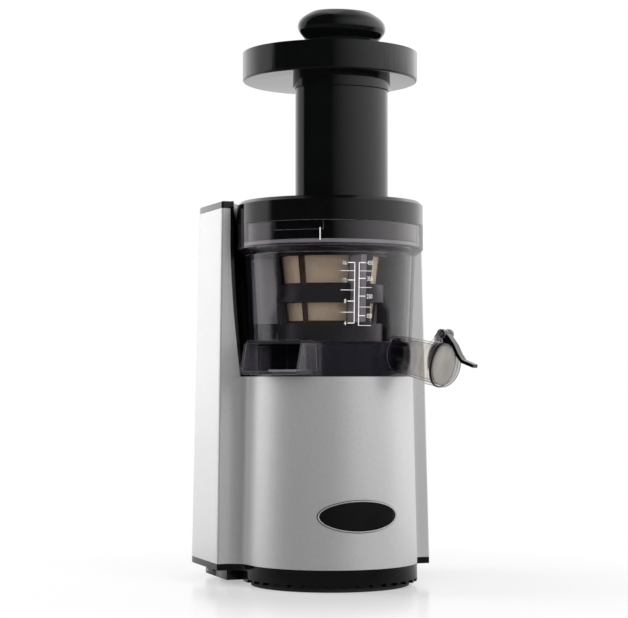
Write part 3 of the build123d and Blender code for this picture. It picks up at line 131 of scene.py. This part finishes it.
class Shader:
    """A node tree under construction. Every node that isn't plain maths comes from its method node."""

    def __init__(self, tree):
        self.tree = tree
        self.tree.nodes.clear()

    def node(self, kind, sockets=None, output=0, **settings):
        """A new node. Its settings are set first, then the values or links of its sockets."""
        node = self.tree.nodes.new("ShaderNode" + kind)
        for name, value in settings.items():
            setattr(node, name, value)
        for name, value in (sockets or {}).items():
            feed(self.tree, node.inputs[name], value)
        return Value(self.tree, node.outputs[output]) if node.outputs else None

    def place(self):
        """The position on the piece, in metres in the shared frame."""
        return self.node("TexCoord", output="Object")

    def along(self, direction, place=None):
        """How far the position, or another place, lies along a direction."""
        sockets = {0: place or self.place(), 1: direction}
        return self.node("VectorMath", sockets, "Value", operation="DOT_PRODUCT")

    def height(self):
        """The height above the table, in metres."""
        return self.along(upwards)

    def noise(self, size, detail=2.0, stretch=(1, 1, 1)):
        """Cloudy noise from 0 to 1, whose lumps have the given size in metres."""
        scaled = self.node("Mapping", {"Vector": self.place(), "Scale": stretch})
        return self.node("TexNoise", {"Vector": scaled, "Scale": 1 / size, "Detail": detail}, "Fac")

    def blend(self, share, first, second):
        """A colour between two, by a share from 0 to 1."""
        return self.node("Mix", {0: share, 6: first, 7: second}, 2, data_type="RGBA")

    def bump(self, height, distance, strength):
        return self.node("Bump", {"Height": height, "Distance": distance, "Strength": strength})

    def principled(self, **sockets):
        """The Principled surface, with socket names written with underscores."""
        named = {
            name.replace("_", " ").title().replace("Ior", "IOR"): value for name, value in sockets.items()
        }
        return self.node("BsdfPrincipled", named)

    def transparent(self, tint):
        return self.node("BsdfTransparent", {"Color": tint})

    def mix(self, share, first, second):
        """A surface or a light between two, by a share from 0 to 1."""
        return self.node("MixShader", {0: share, 1: first, 2: second})

    def rays(self):
        """1 for a ray that looks at the spot, even through something, and 1 for one that mirrors it."""
        path = self.node("LightPath").socket.node.outputs
        kinds = ("Camera", "Transmission", "Glossy")
        straight, through, mirrors = (Value(self.tree, path[f"Is {kind} Ray"]) for kind in kinds)
        return (straight + through).clamped(), mirrors


finishes = {}


def finish(name):
    """The empty shader of a new material, which is kept by its name."""
    material = bpy.data.materials.new(name)
    material.use_nodes = True
    finishes[name] = material
    return Shader(material.node_tree)


def cover(shader, surface):
    """Makes a surface the one that the material shows."""
    shader.node("OutputMaterial", {"Surface": surface})


# --- Finishes, one for each material slot of the record ---
def silver_plastic():
    """Metallic paint over the moulded shells: fine flakes under a thin clear coat."""
    shader = finish("silver_plastic")
    flakes = shader.noise(0.35 * mm, 1.0)
    cloud = shader.noise(60 * mm)
    flake_share = flakes.ramp(0.35, 0.65)
    cover(shader, shader.principled(
        base_color=shader.blend(flake_share, (0.54, 0.54, 0.54), (0.66, 0.66, 0.66)),
        metallic=0.7, roughness=cloud * 0.06 + 0.39, coat_weight=0.2, coat_roughness=0.16,
        normal=shader.bump(flakes, 0.01 * mm, 0.35),
    ))


def black_gloss():
    """Polished black moulding, with the slow waviness that its reflections show."""
    shader = finish("black_gloss")
    waves = shader.noise(22 * mm, 1.0)
    haze = shader.noise(9 * mm, 3.0)
    cover(shader, shader.principled(
        base_color=shader.blend(haze, (0.0015, 0.0017, 0.0019), (0.0028, 0.0030, 0.0032)),
        roughness=haze * 0.05 + 0.08, normal=shader.bump(waves, 0.05 * mm, 0.25),
    ))


def grained(name, dark, light, roughness, grain, depth, metallic=0.0, stretch=(1, 1, 1)):
    """A moulded, turned or cast finish: two tones of one colour under a fine grain."""
    shader = finish(name)
    fine = shader.noise(grain, 3.0, stretch)
    broad = shader.noise(40 * grain)
    cover(shader, shader.principled(
        base_color=shader.blend(broad * 0.6 + fine * 0.4, dark, light), metallic=metallic,
        roughness=broad * 0.1 + (roughness - 0.05), normal=shader.bump(fine, depth, 0.5),
    ))


# Where the bowl's resin differs: each pair is the start and the end of a soft border
spout_turn = radians(-54)
spout_direction = (cos(spout_turn), sin(spout_turn), 0)
spout_clears = (63 * mm, 65 * mm)       # along the spout, where smoked resin gives way to the clear tube
spout_darkens = (88 * mm, 88.5 * mm)    # and where the smoked collar of the tap begins
foot_top = (166 * mm, 168 * mm)         # the bowl is thick below its floor, out to its wall
foot_radius = (59 * mm, 60 * mm)
collar_corner = 230.2 * mm              # and in the corner under its collar
collar_corner_band = (0.7 * mm, 1.5 * mm)
duct_turn = radians(-144)               # which way the pulp duct points
duct_reach = (38 * mm, 40 * mm)         # how far out its walls begin
duct_side = (26 * mm, 27 * mm)          # and how far they are from its middle

limb_shade_slants = (0.70, 0.76)               # how far a see-through wall turns from sight before painted shade darkens its limb
# how much of the wall the painted limb shade covers
painted_limb_darkness = 0.94
clear_limb_shade_left = 0.4                   # what the clear tube keeps of that painted limb shade
clear_haze_left = 0.2                   # and of the haze
thick_haze = 0.62                       # the haze that a thick place adds
corner_share = 0.8                      # of that haze, in the collar's corner
duct_painted_light_haze = 0.16                        # the haze that the duct's thin walls add: painted light, lighter than the rest of the bowl, for the light that comes through them
duct_painted_light_colour = (0.12, 0.115, 0.13)         # and its colour, a painted lighter grey
most_haze = 0.9
shine_straight = 0.04                   # how much a wall mirrors when it is seen straight on
shine_at_slant = 0.6                    # and how much more when it is seen along its face


def resin(name, tint, body, haze, slant_haze, clear_tint=None):
    """A see-through moulding. Light passes it tinted, less so at a slant or where it is thick. Its limb is
    darkened with painted shade, and the thin walls round the pulp duct get a lighter haze that is painted
    light.
    """
    shader = finish(name)
    slant = shader.node("LayerWeight", {"Blend": 0.5}, "Facing")
    # painted shade: 1 where the wall turns from sight, and there the wall is painted dark
    limb = slant.ramp(*limb_shade_slants)
    dense = slant ** 2 * slant_haze + haze
    through = shader.transparent(tint)
    if clear_tint:
        clear, walls = clear_stretch(shader), duct_walls(shader)
        limb = limb * (1 - clear * (1 - clear_limb_shade_left))
        dense = dense * (1 - clear * (1 - clear_haze_left))
        # painted light: the thin walls round the pulp duct get a lighter grey haze and colour than the rest
        # of the smoked resin
        dense = dense + thick_places(shader) * thick_haze + walls * duct_painted_light_haze
        through = shader.mix(clear, through, shader.transparent(clear_tint))
        body = shader.blend(walls, body, duct_painted_light_colour)
    cloud = shader.principled(base_color=body, roughness=0.35, specular_ior_level=0.0)
    wall = shader.mix(dense.clamped(most_haze), through, cloud)
    # painted shade: a near-black surface laid over the wall's limb, where it turns from sight
    painted_limb_shade_surface = shader.principled(base_color=(0.006, 0.005, 0.007), roughness=0.3)
    skin = shader.bump(shader.noise(14 * mm, 1.0), 0.05 * mm, 0.2)
    mirror = shader.node("BsdfGlossy", {"Color": white, "Roughness": 0.03, "Normal": skin})
    shine = (slant ** 4 * shine_at_slant + shine_straight) * (1 - limb)
    cover(shader, shader.mix(shine, shader.mix(limb * painted_limb_darkness, wall, painted_limb_shade_surface), mirror))


def clear_stretch(shader):
    """1 along the stretch of the spout that is clear, 0 where it is smoked."""
    reach = shader.along(spout_direction)
    return reach.ramp(*spout_clears) * (1 - reach.ramp(*spout_darkens))


def thick_places(shader):
    """1 in the bowl's foot and in the tap's collar, less in the corner under the bowl's collar, else 0."""
    height = shader.height()
    across, deep = shader.along((1, 0, 0)), shader.along(backwards)
    radius = (across * across + deep * deep) ** 0.5
    foot = (1 - height.ramp(*foot_top)) * (1 - radius.ramp(*foot_radius)) * (1 - duct_walls(shader))
    corner = 1 - abs(height - collar_corner).ramp(*collar_corner_band)
    return (foot + corner * corner_share + shader.along(spout_direction).ramp(*spout_darkens)).clamped()


def duct_walls(shader):
    """1 round the pulp duct, whose walls are thin, 0 elsewhere."""
    reach = shader.along((cos(duct_turn), sin(duct_turn), 0)).ramp(*duct_reach)
    beside = abs(shader.along((-sin(duct_turn), cos(duct_turn), 0)))
    return reach * (1 - shader.height().ramp(*foot_top)) * (1 - beside.ramp(*duct_side))


def resin_painted_edge_highlight():
    """The polished edges of a see-through moulding, painted light grey: a painted highlight for the light
    that they gather from inside it.
    """
    shader = finish("resin_painted_edge_highlight")
    fine = shader.noise(3 * mm, 1.0)
    through = shader.transparent((0.85, 0.83, 0.85))
    # painted highlight: a light grey surface mixed into the see-through edge
    lit = shader.principled(
        base_color=shader.blend(fine, (0.40, 0.38, 0.40), (0.60, 0.58, 0.60)), roughness=0.2,
    )
    cover(shader, shader.mix(fine * 0.2 + 0.5, through, lit))


sieve_columns = 176             # round the strainer
sieve_rows = 4800               # radians of the wave to a metre of height, for a row each 1.3 mm
sieve_hole = (0.05, 0.5)        # the soft border of a hole, by the height of the crossed waves


def strainer_mesh():
    """A fine sieve: rows of tiny holes in warm metal."""
    shader = finish("mesh")
    turn = shader.along(backwards).turn_from(shader.along((1, 0, 0)))
    holes = ((turn * sieve_columns).sine() * (shader.height() * sieve_rows).sine()).ramp(*sieve_hole)
    fine = shader.noise(0.8 * mm)
    metal = shader.blend(fine, (0.96, 0.80, 0.53), (1.0, 0.90, 0.66))
    cover(shader, shader.principled(
        base_color=shader.blend(holes, metal, (0.12, 0.08, 0.045)), metallic=0.5,
        roughness=fine * 0.1 + 0.38, normal=shader.bump(1 - holes, 0.15 * mm, 0.6),
    ))


sheet_wave = 9000               # radians to a metre of height, for a steel sheet each 0.7 mm


def lamination():
    """A stack of thin steel sheets, seen as fine lines all round."""
    shader = finish("lamination")
    sheets = (shader.height() * sheet_wave).sine() * 0.5 + 0.5
    cover(shader, shader.principled(
        base_color=shader.blend(sheets, (0.13, 0.13, 0.14), (0.32, 0.32, 0.33)), metallic=0.8,
        roughness=sheets * 0.15 + 0.4, normal=shader.bump(sheets, 0.1 * mm, 0.5),
    ))


def make_finishes():
    silver_plastic()
    black_gloss()
    lamination()
    strainer_mesh()
    resin("smoked_clear", (0.93, 0.905, 0.925), (0.010, 0.009, 0.015), 0.01, 0.35, (0.975, 0.965, 0.95))
    resin("clear_tap", (0.88, 0.87, 0.86), (0.42, 0.40, 0.38), 0.16, 0.3)
    resin_painted_edge_highlight()
    grained("black_satin", (0.005, 0.005, 0.006), (0.010, 0.010, 0.011), 0.38, 0.5 * mm, 0.05 * mm)
    grained("strainer_amber", (0.022, 0.012, 0.007), (0.045, 0.026, 0.014), 0.22, 1.0 * mm, 0.02 * mm)
    grained("silicone_grey", (0.16, 0.16, 0.17), (0.22, 0.22, 0.23), 0.55, 0.6 * mm, 0.04 * mm)
    grained("silicone_white", (0.66, 0.66, 0.64), (0.78, 0.78, 0.76), 0.5, 0.8 * mm, 0.03 * mm)
    grained("rubber_black", (0.010, 0.010, 0.010), (0.020, 0.020, 0.020), 0.7, 0.4 * mm, 0.08 * mm)
    grained("steel", (0.48, 0.49, 0.50), (0.60, 0.61, 0.62), 0.28, 0.3 * mm, 0.01 * mm, 1.0, (1, 1, 12))
    grained("sintered", (0.16, 0.16, 0.17), (0.26, 0.26, 0.27), 0.5, 0.2 * mm, 0.04 * mm, 0.9)
    grained("bronze", (0.48, 0.32, 0.14), (0.62, 0.44, 0.22), 0.35, 0.2 * mm, 0.03 * mm, 1.0)
    grained("die_cast", (0.50, 0.51, 0.52), (0.62, 0.63, 0.64), 0.45, 0.4 * mm, 0.06 * mm, 0.9)
    grained("nylon_grey", (0.10, 0.105, 0.11), (0.15, 0.155, 0.16), 0.5, 0.5 * mm, 0.06 * mm)
    grained("acetal_white", (0.72, 0.72, 0.70), (0.80, 0.80, 0.78), 0.35, 0.6 * mm, 0.02 * mm)
    grained("board_green", (0.02, 0.12, 0.05), (0.04, 0.20, 0.09), 0.35, 1.2 * mm, 0.05 * mm)
    grained("capacitor_white", (0.70, 0.70, 0.68), (0.80, 0.80, 0.78), 0.3, 1.0 * mm, 0.02 * mm)
    grained("magnet", (0.10, 0.10, 0.11), (0.16, 0.16, 0.17), 0.45, 0.3 * mm, 0.04 * mm, 0.6)


# --- Pieces ---
slots = {part["node"]: part["material_slot"] for part in frame["record"]["subparts"]}
bodies = frame["record"]["behaviour"]["bodies"]
body_of = {node: body for body, members in bodies.items() for node in members}

edge_steps = 2
sharp_corner = radians(28)      # an edge that turns further than this is rounded off
same_spot = 0.004 * mm          # corners this close are one corner
same_plane = radians(0.4)       # faces this close to one plane are one face

edge_widths = {
    "front_shell": 0.6 * mm, "rear_shell": 0.6 * mm, "tower_cap": 0.8 * mm, "cradle_liner": 0.3 * mm,
    "base_pan": 0.6 * mm, "lid_chute": 0.6 * mm, "hopper_tray": 0.7 * mm, "pusher_knob": 0.8 * mm,
    "grip_cup": 0.6 * mm, "switch_bezel": 0.5 * mm, "rocker_switch": 0.5 * mm, "tap_cap": 0.4 * mm,
    "tap_lever": 0.5 * mm, "strainer_frame": 0.4 * mm, "brush_frame": 0.4 * mm, "badge_plate": 0.2 * mm,
    "cord_gland": 0.4 * mm,
}
clear_edge_widths = {"bowl_shell": 0.6 * mm, "tap_collar": 0.4 * mm}


def place_in_scene(name, data):
    """A new object of the scene."""
    thing = bpy.data.objects.new(name, data)
    bpy.context.scene.collection.objects.link(thing)
    return thing


def mesh_of(name, shape):
    """A mesh of a drawn shape, which is then let go."""
    mesh = bpy.data.meshes.new(name)
    shape.to_mesh(mesh)
    shape.free()
    return mesh


def add_piece(name, mesh, body, slot, smooth=True):
    """A new piece that rides on a body and wears a slot's finish."""
    thing = place_in_scene(name, mesh)
    mesh.materials.clear()
    mesh.materials.append(finishes[slot])
    for face in mesh.polygons:
        face.use_smooth = smooth
    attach(thing, body)
    return thing


def dress_nodes():
    """Gives every node of the frame the finish of its own slot."""
    for name, thing in nodes.items():
        thing.data.materials.clear()
        thing.data.materials.append(finishes[slots[name]])


def rounded(node, width, edge_finish=None):
    """A node's own solid with its sharp edges rounded off, which stands for the node."""
    shape = bmesh.new()
    shape.from_mesh(nodes[node].data)
    bmesh.ops.remove_doubles(shape, verts=shape.verts, dist=same_spot)
    bmesh.ops.dissolve_limit(shape, angle_limit=same_plane, verts=shape.verts, edges=shape.edges)
    mesh = mesh_of(node + "_rounded", shape)
    if "custom_normal" in mesh.attributes:
        mesh.attributes.remove(mesh.attributes["custom_normal"])
    thing = add_piece(node + "_rounded", mesh, body_of[node], slots[node])
    bevel = thing.modifiers.new("edges", "BEVEL")
    bevel.width = width
    bevel.segments = edge_steps
    bevel.limit_method = "ANGLE"
    bevel.angle_limit = sharp_corner
    bevel.harden_normals = True
    if edge_finish:
        mesh.materials.append(finishes[edge_finish])
        bevel.material = 1
    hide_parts(node)


def round_edges():
    """Rounds off the mouldings. The see-through ones get a painted highlight on their edges."""
    for node, width in edge_widths.items():
        rounded(node, width)
    for node, width in clear_edge_widths.items():
        rounded(node, width, "resin_painted_edge_highlight")


# --- Prints and trims laid on curved faces ---
far_outside = 200 * mm          # from the machine's axis, clear of the bowl
far_in_front = 300 * mm         # and clear of the drum

ink_depth = 0.08 * mm
ink_step = 1 * mm               # the ink is cut up this finely, so that it can be bent
print_radius = 58.8 * mm        # of the bowl's wall, at the middle of the scale
bowl_floor = 167.8 * mm         # the foot of the scale's own heights, which are in mm above it
scale_lines = (-93.7, -90.6)    # degrees round the bowl
ounce_marks = ((52.6, "16"), (47.1, ""), (40.9, "12"), (34.2, ""), (26.8, "8"), (19.3, ""), (12.1, "4"))
millilitre_marks = (
    (52.7, "450"), (47.1, ""), (42.1, "350"), (36.0, ""),
    (30.2, "250"), (22.9, ""), (17.1, "150"), (10.5, ""),
)
bold_mark = (4.6, 0.6 * mm)     # length in degrees, and width
thin_mark = (9.2, 0.35 * mm)
figure_height = 3.0 * mm
figure_share = 0.73             # of the type's size, which is the height of its figures
figure_squeeze = 0.72
figure_gap = 0.9                # from the end of a mark, in degrees

lock_turn = -115.8              # degrees round the bowl
lock_low, lock_high = 67.1 * mm, 75.8 * mm      # above the bowl's floor
lock_width = 0.6 * mm


def bar(shape, left, right, low, high):
    """A flat strip of ink between two angles and two heights, cut up so that it can be bent."""
    length = radians(right - left) * print_radius
    middle = Matrix.Translation((radians(right + left) / 2 * print_radius, 0, (low + high) / 2))
    grown = middle @ Matrix.Diagonal((length, ink_depth, high - low, 1))
    corners = bmesh.ops.create_cube(shape, size=1, matrix=grown)["verts"]
    edges = {edge for corner in corners for edge in corner.link_edges}
    along = [edge for edge in edges if abs(edge.verts[0].co.x - edge.verts[1].co.x) > length / 2]
    bmesh.ops.subdivide_edges(shape, edges=along, cuts=round(length / ink_step), use_grid_fill=False)


def figures(shape, text, turn, height, align):
    """A number in the plain built-in type, beside a mark."""
    curve = bpy.data.curves.new("figures", "FONT")
    curve.body = text
    curve.size = figure_height / figure_share
    curve.align_x = align
    curve.extrude = ink_depth / 2
    thing = place_in_scene("figures", curve)
    mesh = bpy.data.meshes.new_from_object(thing.evaluated_get(bpy.context.evaluated_depsgraph_get()))
    upright = Matrix.Translation((radians(turn) * print_radius, 0, height - figure_height / 2))
    mesh.transform(upright @ Matrix.Diagonal((figure_squeeze, 1, 1, 1)) @ Matrix.Rotation(pi / 2, 4, "X"))
    shape.from_mesh(mesh)
    bpy.data.objects.remove(thing)
    bpy.data.curves.remove(curve)
    bpy.data.meshes.remove(mesh)


def measuring_scale(shape):
    """Two columns of marks, in ounces on the left and millilitres on the right."""
    for side, line, marks in ((-1, scale_lines[0], ounce_marks), (1, scale_lines[1], millilitre_marks)):
        low, high = (bowl_floor + marks[place][0] * mm for place in (-1, 0))
        half_line = degrees(bold_mark[1] / 2 / print_radius)
        bar(shape, line - half_line, line + half_line, low, high)
        for above, text in marks:
            length, width = bold_mark if text else thin_mark
            height = bowl_floor + above * mm
            ends = sorted((line, line + side * length))
            bar(shape, *ends, height - width / 2, height + width / 2)
            if text:
                place = line + side * (length + figure_gap)
                figures(shape, text, place, height, "RIGHT" if side < 0 else "LEFT")


def lock_mark(shape):
    """The line on the collar that the lid's mark is turned to."""
    half = degrees(lock_width / 2 / print_radius)
    bar(shape, lock_turn - half, lock_turn + half, bowl_floor + lock_low, bowl_floor + lock_high)


def face_finder(node):
    """A function that finds where a straight line first meets a node's own solid."""
    mesh = nodes[node].data
    corners = [corner.co.copy() for corner in mesh.vertices]
    tree = BVHTree.FromPolygons(corners, [tuple(face.vertices) for face in mesh.polygons])
    return lambda start, way: tree.ray_cast(start, way)[0]


def print_on_bowl(name, draw):
    """A flat drawing, in metres along X and Z, bent round the machine's axis onto the bowl's outer face."""
    shape = bmesh.new()
    draw(shape)
    find = face_finder("bowl_shell")
    for corner in shape.verts:
        turn = corner.co.x / print_radius
        outwards = Vector((cos(turn), sin(turn), 0))
        met = find(outwards * far_outside + upwards * corner.co.z, -outwards)
        corner.co = met - outwards * (corner.co.y - ink_depth / 2)
    bmesh.ops.recalc_face_normals(shape, faces=shape.faces)
    add_piece(name, mesh_of(name, shape), "bowl", "silicone_white", smooth=False)


ring_steps = 96
ring_turns = [2 * pi * step / ring_steps for step in range(ring_steps)]

badge_rim_inset = 0.35 * mm
badge_rim_width = 0.8 * mm
badge_rim_lift = 0.25 * mm
badge_rim_sunk = 0.1 * mm

tap_reach = 90 * mm             # from the machine's axis to the spout's end
tap_height = 152.3 * mm
tap_slope = radians(12)
tap_ring_radii = (15.15 * mm, 15.6 * mm)
tap_ring_ends = (0.4 * mm, 2.0 * mm)    # along the spout, from its end


def ring_mesh(name, loops):
    """A closed band over loops of points, which follow each other round its section."""
    shape = bmesh.new()
    rings = [[shape.verts.new(point) for point in loop] for loop in loops]
    for first, second in zip(rings, rings[1:] + rings[:1]):
        for step in range(ring_steps):
            after = (step + 1) % ring_steps
            shape.faces.new((first[step], first[after], second[after], second[step]))
    bmesh.ops.recalc_face_normals(shape, faces=shape.faces)
    return mesh_of(name, shape)


def badge_rim():
    """A bright oval line round the bare badge plate."""
    low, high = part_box("badge_plate")
    half_width, half_height = (high[0] - low[0]) / 2, (high[2] - low[2]) / 2
    middle = Vector(((low[0] + high[0]) / 2, -far_in_front, (low[2] + high[2]) / 2))
    find = face_finder("badge_plate")

    def oval(inset, lift):
        wide, tall = half_width - inset, half_height - inset
        starts = (middle + Vector((wide * cos(turn), 0, tall * sin(turn))) for turn in ring_turns)
        return [find(start, backwards) - backwards * lift for start in starts]

    outer, inner = badge_rim_inset, badge_rim_inset + badge_rim_width
    loops = [
        oval(outer, -badge_rim_sunk), oval(outer, badge_rim_lift),
        oval(inner, badge_rim_lift), oval(inner, -badge_rim_sunk),
    ]
    add_piece("badge_rim", ring_mesh("badge_rim", loops), "housing", "silver_plastic")


def tap_ring():
    """The black band round the tap's open edge."""
    place = Matrix.Translation((tap_reach * cos(spout_turn), tap_reach * sin(spout_turn), tap_height))
    place = place @ Matrix.Rotation(spout_turn, 4, "Z") @ Matrix.Rotation(tap_slope, 4, "Y")
    (inner, outer), (start, end) = tap_ring_radii, tap_ring_ends
    loops = [
        [place @ Vector((along, radius * cos(turn), radius * sin(turn))) for turn in ring_turns]
        for along, radius in ((start, inner), (start, outer), (end, outer), (end, inner))
    ]
    add_piece("tap_ring", ring_mesh("tap_ring", loops), "tap", "black_satin")


def add_prints():
    print_on_bowl("bowl_scale", measuring_scale)
    print_on_bowl("lock_mark", lock_mark)
    badge_rim()
    tap_ring()


# --- Studio ---
camera_distance = 1.305
camera_height = 0.145
camera_lens = 107.0             # on a 36 mm sensor
camera_pitch = radians(2.03)    # upwards
camera_yaw = radians(0.49)      # to the left of the bowl's axis


def add_camera():
    camera = place_in_scene("camera", bpy.data.cameras.new("camera"))
    camera.data.lens = camera_lens
    camera.location = -view_forward * camera_distance + upwards * camera_height
    turn = Matrix.Rotation(camera_yaw - view_turn, 4, "Z")
    camera.rotation_euler = (turn @ Matrix.Rotation(pi / 2 + camera_pitch, 4, "X")).to_euler()
    bpy.context.scene.camera = camera


floor_reach = 6.0
floor_near = 0.42               # the share of plain white close to the machine
floor_fade = (0.10, 0.30)       # from here to there the floor turns all white
mirrored_from = (-0.1, 0.3)     # behind the machine the polished faces mirror the floor as white
mirrored_least = 0.10           # and this dim in front of it


def add_floor():
    """A wide white table that keeps the machine's shadow and a faint mirror image of it."""
    mesh = bpy.data.meshes.new("floor")
    corners = [(floor_reach * x, floor_reach * y, 0) for x, y in ((-1, -1), (1, -1), (1, 1), (-1, 1))]
    mesh.from_pydata(corners, [], [(0, 1, 2, 3)])
    floor = place_in_scene("floor", mesh)
    shader = finish("floor_white")
    haze = shader.noise(200 * mm)
    table = shader.principled(base_color=(0.86, 0.86, 0.86), roughness=haze * 0.05 + 0.12, ior=1.5)
    away = shader.node("VectorMath", {0: shader.place()}, "Value", operation="LENGTH")
    share = away.ramp(*floor_fade) * (1 - floor_near) + floor_near
    mirrored = shader.along(view_forward).ramp(*mirrored_from) * (1 - mirrored_least) + mirrored_least
    looks, mirrors = shader.rays()
    unlit = shader.node("Emission", {"Strength": 0.0})
    glow = shader.mix(looks + mirrors * mirrored, unlit, shader.node("Emission", {"Color": white}))
    cover(shader, shader.mix(looks * share + mirrors, table, glow))
    mesh.materials.append(finishes["floor_white"])


# What polished faces mirror. An angle is from the machine's front, to the panel's own side
left_panel_edge = (radians(76), radians(84))
left_panel_back = (radians(105), radians(130))
left_panel_light = (0.95, 0.65)     # at its edge, and how much more at its back
right_panel_edge = (radians(2), radians(105))
right_panel_rise = (-0.02, 0.16)    # it is brighter above the table, by the sine of the height
right_panel_light = (1.1, 0.8)      # below the table, and how much more above it
ceiling_fade = (0.55, 0.9)          # by the sine of the height
ceiling_loss = 0.7
white_behind = (radians(150), radians(165))
room_light = 0.01                   # of the room between the panels
room_peak = 4.0                     # more than the brightest panel
matt_light = 0.35                   # what matt faces get from all round


def light_world():
    """A dark room in front, a sharp bright panel on the left, a soft one on the right, and white behind."""
    world = bpy.data.worlds.new("studio")
    bpy.context.scene.world = world
    world.use_nodes = True
    shader = Shader(world.node_tree)
    way = shader.node("TexCoord", output="Generated")
    ahead, aside, up = (shader.along(direction, way) for direction in (view_forward, view_right, upwards))
    to_right = aside.turn_from(ahead * -1)
    to_left = to_right * -1
    left_panel = left_panel_light[0] + to_left.ramp(*left_panel_back) * left_panel_light[1]
    right_panel = right_panel_light[0] + up.ramp(*right_panel_rise) * right_panel_light[1]
    panels = to_left.ramp(*left_panel_edge) * left_panel + to_right.ramp(*right_panel_edge) * right_panel
    behind = abs(to_right).ramp(*white_behind)
    below_ceiling = 1 - up.ramp(*ceiling_fade) * ceiling_loss
    level = panels * below_ceiling * (1 - behind) + behind + room_light

    def background(colour, strength):
        return shader.node("Background", {"Color": colour, "Strength": strength})

    room = background(shader.blend(level / room_peak, black, white), room_peak)
    looks, mirrors = shader.rays()
    unseen = shader.mix(mirrors, background(white, matt_light), room)
    shader.node("OutputWorld", {"Surface": shader.mix(looks, unseen, background(white, 1.0))})


softbox_aim = Vector((0, 0, 0.2))


def add_softbox(name, towards, distance, height, width, tall, power):
    """A rectangular lamp that looks at the middle of the machine, for matt faces only."""
    lamp = place_in_scene(name, bpy.data.lights.new(name, "AREA"))
    lamp.data.shape = "RECTANGLE"
    lamp.data.size = width
    lamp.data.size_y = tall
    lamp.data.energy = power
    lamp.location = towards.normalized() * distance + upwards * height
    lamp.rotation_euler = (softbox_aim - lamp.location).to_track_quat("-Z", "Y").to_euler()
    lamp.visible_glossy = False


def light_studio():
    light_world()
    add_softbox(
        "softbox_left", view_forward * 0.20 - view_right,
        distance=1.15, height=0.35, width=0.55, tall=1.3, power=19,
    )
    add_softbox(
        "softbox_front", -view_forward - view_right * 0.4,
        distance=1.8, height=0.9, width=1.6, tall=1.2, power=16,
    )
    add_softbox(
        "softbox_front_right", view_right * 0.9 - view_forward,
        distance=1.6, height=0.6, width=0.8, tall=1.2, power=19,
    )


def main():
    bpy.context.scene.view_settings.view_transform = "Standard"
    add_camera()
    make_finishes()
    dress_nodes()
    round_edges()
    add_prints()
    add_floor()
    light_studio()


main()
